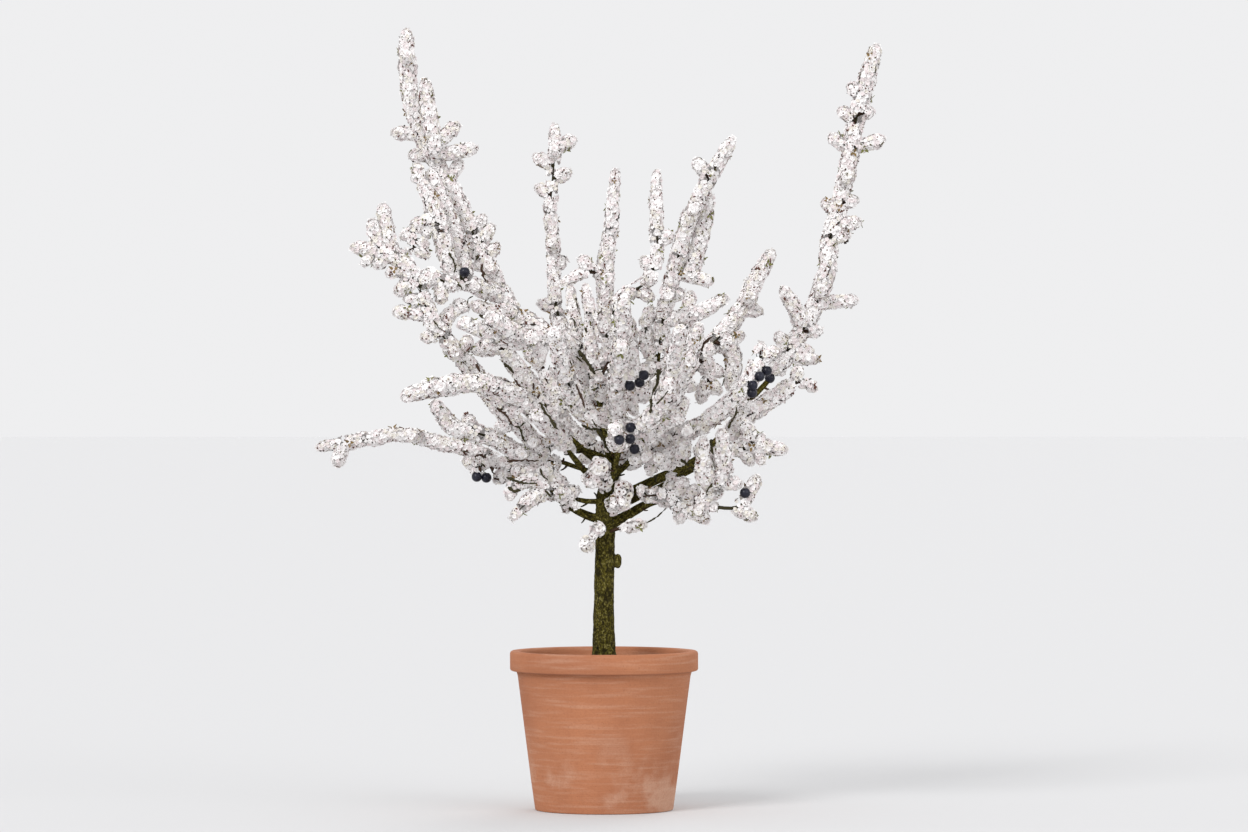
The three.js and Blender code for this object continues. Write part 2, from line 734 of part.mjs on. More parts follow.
// Pot and soil, turned on the upright axis
function turned(outline) {
  const points = outline.map(([radius, height]) => new THREE.Vector2(radius, height));
  const geometry = new THREE.LatheGeometry(points, POT_SIDES);
  geometry.rotateX(Math.PI / 2);
  return solidFrom(geometry);
}

const wallTopRadius = POT_RIM_RADIUS - RIM_STAND_OUT;

function innerRadius(height) {
  const share = (height - POT_FLOOR) / (POT_HEIGHT - POT_FLOOR);
  return THREE.MathUtils.lerp(POT_FOOT_RADIUS, wallTopRadius, share) - POT_WALL;
}

function potSolid() {
  const rimBottom = POT_HEIGHT - RIM_HEIGHT;
  const wallRadius = THREE.MathUtils.lerp(POT_FOOT_RADIUS, wallTopRadius, rimBottom / POT_HEIGHT);
  let pot = turned([
    [0, 0],
    [POT_FOOT_RADIUS - POT_EDGE, 0],
    [POT_FOOT_RADIUS, POT_EDGE],
    [wallRadius, rimBottom],
    [POT_RIM_RADIUS - POT_EDGE, rimBottom + POT_EDGE / 2],
    [POT_RIM_RADIUS, rimBottom + POT_EDGE * 1.5],
    [POT_RIM_RADIUS, POT_HEIGHT - POT_EDGE],
    [POT_RIM_RADIUS - POT_EDGE, POT_HEIGHT],
    [innerRadius(POT_HEIGHT) + POT_EDGE, POT_HEIGHT],
    [innerRadius(POT_HEIGHT - POT_EDGE), POT_HEIGHT - POT_EDGE],
    [innerRadius(POT_FLOOR), POT_FLOOR],
    [0, POT_FLOOR],
  ]);
  for (let i = 0; i < DRAIN_HOLES; i++) {
    const angle = (i / DRAIN_HOLES) * Math.PI * 2;
    const depth = 3 * POT_FLOOR;
    const hole = new THREE.CylinderGeometry(DRAIN_HOLE_RADIUS, DRAIN_HOLE_RADIUS, depth, DRAIN_HOLE_SIDES);
    hole.rotateX(Math.PI / 2);
    hole.translate(DRAIN_HOLE_RING * Math.cos(angle), DRAIN_HOLE_RING * Math.sin(angle), 0);
    pot = pot.subtract(solidFrom(hole));
  }
  return pot;
}

function soilSolid() {
  const top = POT_HEIGHT - SOIL_DEPTH_BELOW_RIM;
  const bottom = POT_FLOOR + GAP;
  return turned([
    [0, bottom],
    [innerRadius(bottom) - GAP, bottom],
    [innerRadius(top - SOIL_FALL) - GAP, top - SOIL_FALL],
    [(SOIL_LEVEL_RADIUS + innerRadius(top)) / 2, top - SOIL_FALL / 4],
    [SOIL_LEVEL_RADIUS, top],
    [0, top],
  ]);
}

// Scene graph: the plant stands in its pot, its places counted from the rim
const bark = new THREE.MeshStandardMaterial({ color: 0x5c5433, roughness: 0.9 });
const boughBark = new THREE.MeshStandardMaterial({ color: 0x54462f, roughness: 0.88 });
const blossom = new THREE.MeshStandardMaterial({ color: 0xefe9ee, roughness: 0.8 });
const terracotta = new THREE.MeshStandardMaterial({ color: 0xb5684a, roughness: 0.92 });
const earth = new THREE.MeshStandardMaterial({ color: 0x3b2c20, roughness: 1 });

function named(name, solid, material) {
  const mesh = new THREE.Mesh(geometryFrom(solid), material);
  mesh.name = name;
  return mesh;
}

const cherry = new THREE.Group();
cherry.add(named("pot", potSolid(), terracotta));
cherry.add(named("soil", soilSolid(), earth));

const plant = new THREE.Group();
plant.position.z = POT_HEIGHT;
plant.add(named("trunk", trunkSolid(0), bark));
for (const { name, solid } of boughs) plant.add(named(name, solid, boughBark));
for (const { name, solid } of masses) plant.add(named("blossom_" + name, solid, blossom));
cherry.add(plant);

export default cherry;
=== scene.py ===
import math
import random

import bmesh
import bpy
import numpy as np
from bpy.props import FloatProperty, FloatVectorProperty, IntProperty, PointerProperty
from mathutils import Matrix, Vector, noise
from mathutils.kdtree import KDTree


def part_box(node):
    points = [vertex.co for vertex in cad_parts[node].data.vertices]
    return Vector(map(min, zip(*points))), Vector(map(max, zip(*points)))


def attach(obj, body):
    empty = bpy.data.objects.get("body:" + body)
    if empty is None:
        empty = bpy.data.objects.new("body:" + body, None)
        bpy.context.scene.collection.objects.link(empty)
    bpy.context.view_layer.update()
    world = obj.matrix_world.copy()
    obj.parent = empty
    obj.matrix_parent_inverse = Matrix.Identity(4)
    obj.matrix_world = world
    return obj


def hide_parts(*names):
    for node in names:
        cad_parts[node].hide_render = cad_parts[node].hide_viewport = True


bl_info = {
    "name": "Potted cherry in blossom",
    "version": (1, 0, 0),
    "blender": (4, 5, 0),
    "location": "3D View > Sidebar > Cherry",
    "description": "Dresses a potted cherry shrub: bark, twigs, blossom, fruit, pot and soil",
    "category": "Add Mesh",
}

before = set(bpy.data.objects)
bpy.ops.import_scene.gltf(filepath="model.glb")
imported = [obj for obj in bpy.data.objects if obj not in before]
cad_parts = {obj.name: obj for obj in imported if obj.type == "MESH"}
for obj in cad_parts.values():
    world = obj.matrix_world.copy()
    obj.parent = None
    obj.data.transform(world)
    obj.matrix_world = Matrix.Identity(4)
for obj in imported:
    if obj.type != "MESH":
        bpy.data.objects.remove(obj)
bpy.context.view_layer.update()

# What the frame says, in millimetres
MM = 0.001
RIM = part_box("pot")[1].z / MM
POT_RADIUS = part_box("pot")[1].x / MM
SOIL_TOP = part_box("soil")[1].z / MM
SOIL_LEVEL = SOIL_TOP - RIM

# Rule of growth: the same places and sizes as the solids, in millimetres
GAP = 0.3
FLARE_RADIUS = 30
SLEEVE = 42
SPUR_SHARE = 0.8
TIP_LENGTH = 75
TIP_SHARE = 0.7
TIP_REACH = 7
BARE_START = 14
SWELL_LENGTH = 16
FOOT_SLIDE = 0.5
FOOT_LEAST = 22
TWIG_RADIUS = 3.5
FRAME_STEPS = 80
BURR_PLACE = (27, -4, 180)
BURR_SIZE = (9, 9, 15)
BERRY_RADIUS = 10.5
GOLDEN_ANGLE = math.radians(137.5)

# The pot, in millimetres
POT_FOOT_RADIUS = 140
WALL_TOP_RADIUS = 181
POT_WALL = 13
POT_FLOOR = 14
RIM_HEIGHT = 42
DRAIN_HOLES = 3
DRAIN_HOLE_RADIUS = 8
DRAIN_HOLE_RING = 75
SOIL_FALL = 8
SOIL_RINGS = 34
SOIL_SIDES = 120
CRUMBS = 1400

# Corners of the pot's outline, in millimetres: how far in from the outside, and how far above the foot or
# below the rim. Those of the lip say how far out from the inside.
FOOT_CORNERS = [(4, 0), (1.2, 1.2), (0, 4)]
RIM_CORNERS = [(4, 40), (1.2, 38.8), (0, 36), (0, 22), (0, 6), (1.2, 2.2), (4, 0.4), (9, 0)]
LIP_CORNERS = [(4, 0.6), (1, 2.5)]
WALL_SHARES = [0.2, 0.4, 0.6, 0.8, 0.97]
RIM_FILLET = 1.5

# Waves of relief, in millimetres: the height of each and its length, on the bark across the limb, along it
# and then a shift that makes it differ from the others
BARK_WAVES = [(0.9, 7, 40, 0), (0.55, 20, 5, 0), (0.5, 3.2, 11, 0), (1.3, 30, 34, 50)]
SOIL_WAVES = [(2.2, 16), (1.6, 6), (0.9, 2.8)]

# The bark's relief is full on a limb of this radius, and weaker on thinner ones down to a least share. Its
# pattern runs on along each limb, and from one limb to the next it jumps.
RELIEF_RADIUS = 20
RELIEF_LEAST = 0.25
LIMBS_APART = 900

# How finely the wood is dressed and how far it reaches, in millimetres
TRUNK_SUNK = 6
LIMB_STEP = 4
LIMB_SIDES = 20
LIMB_REACH = 70
STUB_STEP = 24
STUB_TAPER = [1.3, 1, 0.8, 0.55]
TWIG_STEP = 12
TWIG_SIDES = 6
TWIG_TIP_RADIUS = 1.3
TWIG_IN_BARK = 0.6
SIDE_TWIG_STEP = 20
SIDE_TWIG_RADII = [1.5, 1.2, 0.9, 0.6]
BARE_TWIG_STEP = 4
BARE_TWIG_TAPER = 0.35
BARE_TWIG_BENDS = 0.9
BARE_TWIG_WAVE = 5
BARE_TWIG_SINK = 0.8
STALK_RADII = [1.3, 1, 0.9, 0.9, 0.9, 1, 1.3]

# Without it, Blender's vector noise, which bends the bare twigs, would differ from run to run
NOISE_SEED = 13

# What the small things keep clear of, in millimetres
AXIS_STEP = 8
INSIDE_SHARE = 0.82
LIMB_CLEARANCE = 3
BERRY_CLEARANCE = 14
TWIG_CLEARANCE = 0.5
CROWD_REACH = 40

# Spurs with round heads, in millimetres, and what a draw makes of them
HEAD_RADIUS = 17
HEAD_REACH = 4
HEAD_CAP = 0.9
HEAD_SPREAD = (0.9, 1.15)
STEP_SPREAD = (0.7, 1.3)
SPUR_STALK = 2
SPUR_LEAN = 0.3
SIDE_SPUR_STEP = 120
SIDE_SPUR_LENGTH = 36
SIDE_SPUR_HEAD = 15
SIDE_SPUR_STARTS = (0.3, 0.8)
SIDE_SPUR_SIZES = (0.8, 1.2)
BOUGH_SPUR_START = 0.3
BOUGH_SPUR_STEP = 22
BOUGH_SPUR_LENGTH = 24
HIDDEN_SHARE = 0.7

# The sleeves of blossom, in millimetres and square millimetres. They are made of round heads as wide as
# HEAD_CELL, with creases between them.
SLEEVE_STEPS = 60
SLEEVE_INSET = 3.6
HEAD_CELL = 27
HEAD_DEPTH = 0.24
HEAD_EDGE = 0.62
HEAD_LEVEL = 0.6
FLOWER_TILT = 0.2
FLOWER_SIZES = (0.8, 1.2)
LARGE_FLOWER = 1.7
LARGE_AREA_POWER = 1.7
HALF_OPEN_SHARE = 0.12
DOUBLE_SHARE = 0.3
TINT_LIMITS = [0.78, 1.08]
# Painted shade: the creases between the round heads get more of the darker cool and cream petals
CREASE_SHADE = 0.35
SPOT_SHARE = 0.16
SPOT_SIZES = (0.6, 1.25)
GREEN_SHARE = 0.22
PETAL_GLOW = 0.08
PETAL_CORNERS = 5
NEAR_PETAL_CORNERS = 8
DEEP_LAYER = 3.6
DEEP_AREA = 80
ROD_AREA = 3600
LEAF_AREA = 5200
FULL_TURN = 6.3

# What lies among the flowers: its shape, the area that each has, how deep it is sunk and its sizes
SCATTERED = [
    ("dot", 250, -1.2, (0.7, 1.45)),
    ("bud", 620, 1.6, (0.7, 1.15)),
    ("clump", 1900, 2.0, (0.5, 0.9)),
    ("clump", 7500, 2.5, (1.0, 1.5)),
]

# Small shapes, in metres: radius and height
FLOWER_EYE = (0.0017, 0.0011)
DOT = (0.0019, 0.0018)
BUD = (0.0019, 0.0046)
CLUMP_BUD = (0.0022, 0.0056)
LEAF_LENGTH = 0.013
CRUMB_RADIUS = 0.002

# Colours that the panel doesn't offer
OLIVE_TWIG = (0.034, 0.029, 0.009)
BROWN_TWIG = (0.045, 0.022, 0.012)
DARK_CALYX = (0.022, 0.013, 0.008)
BRONZE_LEAF = (0.2, 0.13, 0.05)
FRUIT_BLOOM = (0.021, 0.022, 0.036)
FRUIT_STALK = (0.13, 0.15, 0.04)
PALE_CLAY = (0.62, 0.42, 0.31)
DAMP_CLAY = (0.3, 0.11, 0.055)

# The stage, in metres. A sun is its name, its place, its softness and its strength.
FLOOR_SIZE = 120
CAMERA_PLACE = (0.04, -12, 0.9)
CAMERA_LENS = 172
CAMERA_SHIFT = -0.043
CAMERA_REACH = 200
SKY_COLOUR = (0.99, 0.99, 1.0)
SKY_STRENGTH = 0.87
SUN_AIM = (0, 0, 0.85)
SUNS = [
    ("key", (-3.0, -4.4, 4.6), 0.4, 1.75),
    ("fill", (4.2, -3.6, 2.6), 0.8, 0.75),
    ("back", (1.5, 4.0, 3.6), 0.5, 0.6),
]

# Short spurs with round heads, too small for the solids: [right, up, radius] and, close to the trunk, how
# far back, which is negative in front of it. Each leaves the shoot that it is nearest to.
SMALL_HEADS = [
    [-29, 346, 19, -70], [-10, 366, 24, -82], [-11, 246, 15, -42], [-32, 212, 15, -44], [-60, 321, 16, -44],
    [-62, 297, 10, -48], [-31, 550, 16, -60], [-26, 527, 20, -60], [-32, 502, 20, -60], [-10, 500, 20, -70],
    [35, 331, 18, -52], [40, 299, 20, -56], [77, 323, 16, -56], [106, 314, 19, -60], [130, 330, 21, -66],
    [158, 338, 19, -70], [180, 324, 18, -70], [148, 292, 14, -72], [157, 272, 13, -72], [187, 274, 13, -72],
    [220, 293, 12, -76], [-279, 690, 17], [-276, 655, 16], [-272, 622, 16], [90, 715, 17], [92, 680, 17],
    [150, 715, 17], [178, 716, 17], [232, 560, 17], [229, 525, 17], [-323, 708, 18], [340, 600, 17],
    [356, 630, 17], [-212, 346, 18], [-365, 820, 15], [-362, 800, 15], [-376, 970, 17], [389, 564, 17],
    [178, 532, 16], [-420, 757, 16], [60, 483, 15], [-297, 981, 16], [-28, 443, 18], [93, 366, 16],
    [275, 633, 15], [-41, 384, 16], [-186, 318, 15], [-177, 276, 13], [-274, 380, 14], [-470, 781, 14],
    [418, 531, 14], [-385, 706, 14], [-249, 869, 15], [313, 387, 14], [487, 836, 15], [133, 399, 14],
    [62, 386, 15, -84], [84, 392, 16, -92], [108, 388, 17, -92], [72, 412, 14, -90], [92, 428, 15, -98],
    [110, 446, 16, -110], [126, 462, 16, -120], [-385, 826, 17], [-388, 808, 14], [-262, 850, 17],
    [-258, 826, 16], [-262, 800, 16], [-255, 775, 15], [-281, 801, 17], [-358, 842, 16], [-344, 856, 15],
]

# Twigs that lie bare on the blossom: [half thickness, 0 olive or 1 brown, then places: right and up]
BARE_TWIGS = [
    [1.6, 0, [-337, 663], [-329, 652], [-325, 644]], [2.7, 0, [-251, 675], [-241, 669]],
    [2.4, 1, [-241, 674], [-235, 680]], [3, 1, [-251, 578], [-247, 568], [-242, 561]],
    [3.5, 0, [-200, 578], [-191, 567], [-182, 558]], [2.7, 1, [-178, 548], [-170, 537], [-163, 530]],
    [1.4, 0, [-260, 712], [-269, 706], [-272, 694]], [1.4, 1, [-218, 518], [-205, 513]],
    [1.1, 0, [-59, 712], [-55, 693], [-50, 676]], [2, 0, [-71, 668], [-64, 669], [-59, 650]],
    [4.5, 0, [-49, 603], [-41, 591], [-32, 579], [-19, 558]], [2, 0, [-55, 592], [-43, 580]],
    [1.6, 0, [-20, 562], [-10, 566], [2, 566]], [2.8, 1, [-55, 537], [-49, 524], [-43, 510], [-37, 490]],
    [2, 0, [-65, 585], [-62, 570]], [2.2, 1, [-119, 549], [-113, 538]], [2.4, 1, [-142, 538], [-142, 524]],
    [2.2, 1, [-128, 519], [-131, 508]], [1.6, 0, [-13, 674], [-5, 681]], [2.4, 0, [-37, 651], [-34, 639]],
    [3.1, 1, [193, 603], [197, 615], [206, 624], [214, 632]], [1.8, 0, [241, 532], [244, 548]],
    [2.4, 0, [247, 448], [262, 476], [265, 490]], [1.2, 1, [145, 492], [155, 502]],
    [2.7, 0, [103, 338], [104, 348], [110, 357]], [3, 0, [152, 386], [170, 374]],
    [3.8, 0, [212, 429], [214, 412], [217, 396]], [1.6, 0, [215, 392], [220, 369]],
    [2.4, 0, [215, 339], [208, 328], [202, 320]], [1.5, 0, [85, 258], [109, 273], [124, 288]],
    [1.4, 0, [26, 370], [49, 375]], [2.4, 1, [-212, 490], [-199, 480], [-188, 468], [-178, 454]],
    [2.4, 0, [-178, 454], [-167, 448], [-164, 435], [-158, 422]],
    [1.6, 0, [-167, 450], [-160, 459], [-155, 460]],
    [3.5, 0, [-125, 501], [-118, 484], [-107, 471], [-100, 459], [-91, 446]],
    [2.3, 1, [-194, 382], [-164, 384], [-130, 384]],
    [2.6, 0, [-194, 351], [-172, 342], [-149, 339], [-133, 339]],
    [3.1, 0, [-191, 330], [-179, 324], [-166, 324]], [2.2, 0, [-128, 368], [-122, 354], [-112, 344]],
    [1.5, 0, [-289, 402], [-271, 398]], [1.8, 0, [-248, 378], [-238, 369]],
    [3, 1, [-260, 390], [-251, 394], [-238, 388]], [3.2, 1, [-251, 370], [-248, 358]],
    [3.8, 1, [-229, 369], [-221, 356]], [3.2, 1, [-221, 346], [-211, 342]],
    [2.7, 0, [-118, 324], [-104, 312]], [2, 0, [-110, 412], [-106, 399]],
    [2.2, 0, [-313, 800], [-305, 788], [-299, 772], [-302, 760]],
    [3.5, 1, [-247, 777], [-245, 760], [-238, 742]], [2.6, 0, [-256, 798], [-260, 786]],
    [2.3, 0, [-290, 738], [-280, 724]], [1.8, 0, [-280, 735], [-271, 738]],
    [2.6, 1, [-332, 843], [-325, 844]], [4.1, 0, [109, 566], [106, 546], [101, 525], [92, 480]],
    [1.8, 0, [103, 498], [115, 510], [127, 525]],
    [3.5, 0, [-46, 454], [-29, 448], [-13, 444], [1, 423], [13, 400]], [1.9, 0, [-23, 468], [-14, 452]],
]

# The masses whose blossom is joined into one piece
BLOSSOM_GROUPS = {
    "petals_left_low": ["left_long", "left_short", "left_arch", "left_inner"],
    "petals_left_fan": ["left_fan", "left_middle", "front_left"],
    "petals_left_high": ["left_leader"],
    "petals_back": ["back_left", "back_high", "back_low"],
    "petals_middle": ["back_right", "front", "front_low"],
    "petals_right_middle": ["centre_right", "right_fan", "right_front", "right_spray"],
    "petals_right_low": ["right_low", "fork_left_tuft", "fork_right_tuft", "trunk_tuft", "short_left_tuft"],
    "petals_right_high": ["right_leader", "right_outer"],
}

# The plant's places are [right, back, up] from the pot's rim above the middle of the pot.
# A trunk station is its place and its radius there.
TRUNK = [
    ([0, 0, SOIL_LEVEL + GAP], FLARE_RADIUS),
    ([0, 0, 0], 23.5),
    ([-1, 0, 60], 21.5),
    ([0, 0, 130], 20),
    ([2, 0, 200], 19.5),
    ([3, 0, 255], 20),
    ([2, 0, 315], 17),
    ([17, 0, 352], 14),
    ([22, 0, 385], 12),
    ([20, 4, 436], 8),
]

# Each limb leaves the trunk at a height, follows its bough to the bough's tip, and goes on from there as
# the stem of its mass. Thickness is the bough's at both ends, sleeve that of the blossom, and bare how far
# the stem goes without any. Sides are shoots that leave the stem or an earlier side, one of them bare at
# first, tips are the ends of short spurs as [right, up], and berries hang in front of the shoots.
LIMBS = {
    "left_long": {
        "leaves": 262, "thickness": [20, 11],
        "bough": [[-40, 4, 274], [-75, 8, 293], [-112, 12, 321]],
        "stem": [
            [-150, 18, 343], [-250, 30, 397], [-340, 38, 420],
            [-404, 44, 435], [-470, 50, 426], [-574, 60, 409],
        ],
        "sides": [[[-232, 10, 380], [-262, -6, 362]]],
        "tips": [[-538, 380], [-172, 352]],
        "berries": [[-256, 350], [-237, 348]],
        "bare": 70,
        "sleeve": 35,
    },
    "left_short": {
        "leaves": 298, "thickness": [13, 9],
        "bough": [[-35, -22, 301], [-58, -38, 306]],
        "stem": [[-104, -75, 322], [-148, -115, 305], [-166, -135, 288]],
        "sides": [[[-140, -92, 345], [-182, -112, 332]]],
    },
    "left_arch": {
        "leaves": 330, "thickness": [16, 11],
        "bough": [[-34, -42, 358], [-66, -85, 396]],
        "stem": [
            [-89, -115, 433], [-128, -165, 473], [-176, -210, 515],
            [-242, -252, 538], [-330, -288, 531], [-390, -305, 512],
        ],
        "tips": [[-100, 475], [-190, 480]],
        "sleeve": 46,
    },
    "left_inner": {
        "leaves": 352, "thickness": [12, 9],
        "bough": [[-45, -6, 366], [-83, -20, 379]],
        "stem": [
            [-120, -40, 387], [-172, -60, 400], [-217, -80, 426],
            [-262, -95, 441], [-300, -105, 450], [-336, -120, 498],
        ],
        "sides": [
            [[-112, -52, 366], [-140, -66, 358], [-176, -72, 362]],
            [[-104, -50, 350], [-80, -52, 338]],
        ],
        "tips": [[-272, 465]],
        "bare": 30,
    },
    "left_fan": {
        "leaves": 378, "thickness": [15, 11],
        "bough": [[-30, -20, 400], [-84, -44, 412]],
        "stem": [
            [-134, -66, 418], [-167, -84, 452], [-212, -108, 494], [-260, -135, 560],
            [-301, -160, 608], [-345, -180, 672], [-370, -190, 745],
        ],
        "sides": [
            [[-402, -196, 782], [-450, -200, 800], [-494, -204, 807]],
            [[-350, -176, 750], [-296, -165, 730]],
            [[-316, -150, 664], [-288, -140, 690]],
        ],
        "tips": [[-437, 882], [-457, 852], [-404, 722], [-406, 680], [-352, 630], [-205, 452], [-446, 776]],
    },
    "left_middle": {
        "leaves": 362, "thickness": [15, 11],
        "bough": [[-32, 4, 395], [-77, 18, 436], [-104, 24, 467]],
        "stem": [[-124, 28, 500], [-149, 28, 534], [-172, 26, 564], [-196, 22, 597], [-214, 20, 628]],
        "sides": [[[-84, 32, 489], [-107, 34, 534], [-125, 36, 575]]],
        "tips": [[-165, 500], [-258, 606], [-152, 600], [-184, 634]],
        "sleeve": 44,
    },
    "left_leader": {
        "leaves": 402, "thickness": [14, 11],
        "bough": [[-6, -6, 437], [-28, 6, 470], [-38, 16, 495], [-53, 30, 535]],
        "stem": [
            [-78, 42, 590], [-112, 55, 634], [-186, 70, 688], [-240, 85, 788], [-300, 98, 912],
            [-364, 110, 1030], [-394, 116, 1118], [-403, 120, 1250],
        ],
        "sides": [
            [[-340, 74, 1010], [-354, 66, 1080], [-362, 60, 1146]],
            [[-250, 40, 730], [-306, 20, 765], [-323, 14, 823], [-347, 16, 903], [-374, 20, 952]],
            [[-284, 52, 780], [-306, 48, 849], [-328, 44, 909], [-350, 42, 962]],
            [[-354, 14, 866], [-380, 12, 846], [-384, 10, 808]],
            [[-215, 44, 680], [-262, 28, 695]],
        ],
        "tips": [
            [-420, 1047], [-385, 1000], [-268, 1012], [-302, 1056],
            [-400, 836], [-232, 850], [-222, 812],
        ],
        "berries": [[-281, 762]],
        "sleeve": 42,
    },
    "front_left": {
        "leaves": 352, "thickness": [15, 11],
        "bough": [[6, -52, 420], [-14, -90, 520], [-40, -112, 588]],
        "stem": [
            [-60, -140, 608], [-103, -190, 628], [-145, -235, 628],
            [-185, -275, 643], [-224, -308, 670],
        ],
        "sides": [[[-170, -240, 622], [-225, -262, 640], [-268, -280, 655]]],
        "tips": [[-130, 580], [-236, 612]],
        "sleeve": 46,
    },
    "back_left": {
        "leaves": 362, "thickness": [15, 11],
        "bough": [[-8, 72, 450], [-42, 145, 550]],
        "stem": [
            [-80, 215, 632], [-100, 250, 700], [-107, 272, 830],
            [-112, 282, 890], [-104, 295, 1000], [-103, 300, 1064],
        ],
        "sides": [[[-58, 190, 640], [-66, 210, 700], [-70, 215, 730]]],
        "tips": [[-70, 1037], [-136, 1001], [-80, 970], [-132, 938], [-88, 788], [-125, 700]],
        "sleeve": 33,
    },
    "front": {
        "leaves": 416, "thickness": [13, 10],
        "bough": [[26, -66, 486], [14, -130, 565]],
        "stem": [
            [2, -195, 680], [8, -228, 755], [4, -238, 780],
            [12, -247, 820], [17, -257, 880], [23, -264, 953],
        ],
        "sides": [
            [[-30, -240, 758], [-78, -248, 738]],
            [[-10, -140, 552], [-26, -160, 610], [-30, -172, 668]],
        ],
        "tips": [[-40, 780], [30, 650]],
        "sleeve": 31,
    },
    "back_right": {
        "leaves": 388, "thickness": [13, 10],
        "bough": [[24, 52, 470], [20, 100, 580]],
        "stem": [
            [14, 130, 674], [40, 145, 716], [84, 160, 742],
            [106, 168, 790], [106, 174, 880], [107, 180, 965],
        ],
        "sides": [[[-14, 124, 640], [-32, 130, 700], [-38, 134, 732]]],
        "tips": [[130, 837], [84, 786]],
        "sleeve": 33,
    },
    "centre_right": {
        "leaves": 396, "thickness": [15, 11],
        "bough": [[66, -22, 434], [102, -45, 490], [106, -68, 560]],
        "stem": [
            [121, -130, 684], [144, -175, 776], [163, -205, 848],
            [198, -240, 924], [224, -262, 970], [252, -275, 1016],
        ],
        "sides": [
            [[168, -168, 761], [193, -190, 830], [209, -222, 905]],
            [[181, -140, 677], [240, -150, 706]],
            [[90, -90, 600], [84, -110, 660]],
            [[66, -84, 560], [52, -100, 620], [54, -104, 660]],
        ],
        "tips": [[186, 972], [205, 742], [160, 620]],
        "berries": [[79, 555], [71, 540], [52, 534]],
        "sleeve": 38,
    },
    "right_fan": {
        "leaves": 368, "thickness": [14, 10],
        "bough": [[72, 20, 410], [118, 42, 462]],
        "stem": [
            [152, 80, 540], [188, 118, 590], [223, 148, 620], [257, 170, 659],
            [284, 182, 693], [310, 195, 749], [342, 205, 803],
        ],
        "sides": [[[214, 142, 566], [196, 132, 505]], [[256, 160, 610], [264, 160, 570], [256, 156, 530]]],
        "tips": [[312, 685], [185, 640], [226, 620]],
    },
    "right_front": {
        "leaves": 345, "thickness": [13, 10],
        "bough": [[58, -60, 390], [106, -102, 462]],
        "stem": [[140, -150, 513], [152, -180, 548], [167, -215, 582], [186, -252, 650]],
        "tips": [[110, 540]],
        "sleeve": 42,
    },
    "right_leader": {
        "leaves": 300, "thickness": [23, 11],
        "bough": [
            [60, 8, 322], [112, 20, 347], [184, 36, 381],
            [240, 48, 435], [280, 56, 486], [330, 66, 541],
        ],
        "stem": [
            [371, 72, 597], [418, 80, 677], [452, 88, 768], [456, 92, 822], [472, 96, 879],
            [492, 98, 965], [510, 100, 1065], [526, 100, 1128], [551, 100, 1218],
        ],
        "sides": [[[385, 60, 690], [363, 54, 726]]],
        "tips": [
            [504, 1136], [484, 1088], [536, 1088], [466, 1035], [558, 1031], [452, 902],
            [504, 908], [510, 864], [502, 706], [412, 603], [424, 587], [430, 644],
        ],
        "sleeve": 42,
    },
    "right_outer": {
        "leaves": 280, "thickness": [15, 10],
        "bough": [[100, -34, 324], [180, -62, 366]],
        "stem": [[240, -76, 402], [287, -84, 413], [359, -95, 406]],
        "sides": [
            [[272, -60, 462], [334, -34, 504], [374, -24, 532], [410, -20, 545]],
            [[290, -100, 440], [274, -104, 462]],
        ],
        "tips": [[311, 427], [290, 386]],
    },
    "right_low": {
        "leaves": 248, "thickness": [24, 13],
        "bough": [[46, -8, 272], [98, -25, 300], [136, -38, 303]],
        "stem": [
            [160, -60, 290], [186, -85, 284], [208, -102, 312],
            [236, -135, 358], [238, -162, 405], [233, -172, 441],
        ],
        "sides": [
            [[202, -140, 350], [197, -168, 425]],
            {"bare": 60, "points": [[218, -97, 292], [262, -106, 290], [286, -112, 306]]},
            [[130, -72, 314], [84, -72, 312]],
        ],
        "tips": [[152, 270], [200, 268], [294, 274], [302, 344], [264, 338]],
        "berries": [[281, 320]],
    },
    "front_low": {
        "leaves": 312, "thickness": [14, 10],
        "bough": [[20, -62, 356], [30, -110, 425]],
        "stem": [[25, -200, 510], [35, -310, 610], [40, -395, 700]],
        "sides": [
            [[-40, -190, 480], [-75, -300, 560], [-95, -385, 640]],
            [[72, -190, 450], [122, -270, 520], [150, -395, 645]],
            [[30, -210, 420], [20, -310, 450]],
        ],
        "tips": [[60, 560]],
        "berries": [[53, 451], [52, 429], [31, 428], [61, 407]],
    },
    "back_high": {
        "leaves": 345, "thickness": [14, 10],
        "bough": [[22, 64, 400], [24, 120, 450]],
        "stem": [[28, 240, 560], [4, 350, 680], [2, 420, 780], [8, 450, 855]],
        "sides": [
            [[-50, 230, 520], [-85, 340, 610], [-100, 430, 690]],
            [[90, 240, 520], [150, 340, 610], [175, 420, 690]],
        ],
        "tips": [[60, 640], [0, 600]],
    },
    "back_low": {
        "leaves": 300, "thickness": [14, 10],
        "bough": [[8, 60, 342], [5, 110, 375]],
        "stem": [[-30, 190, 410], [-80, 290, 450], [-110, 380, 505]],
        "sides": [[[60, 190, 400], [130, 290, 440], [165, 380, 500]]],
    },
}

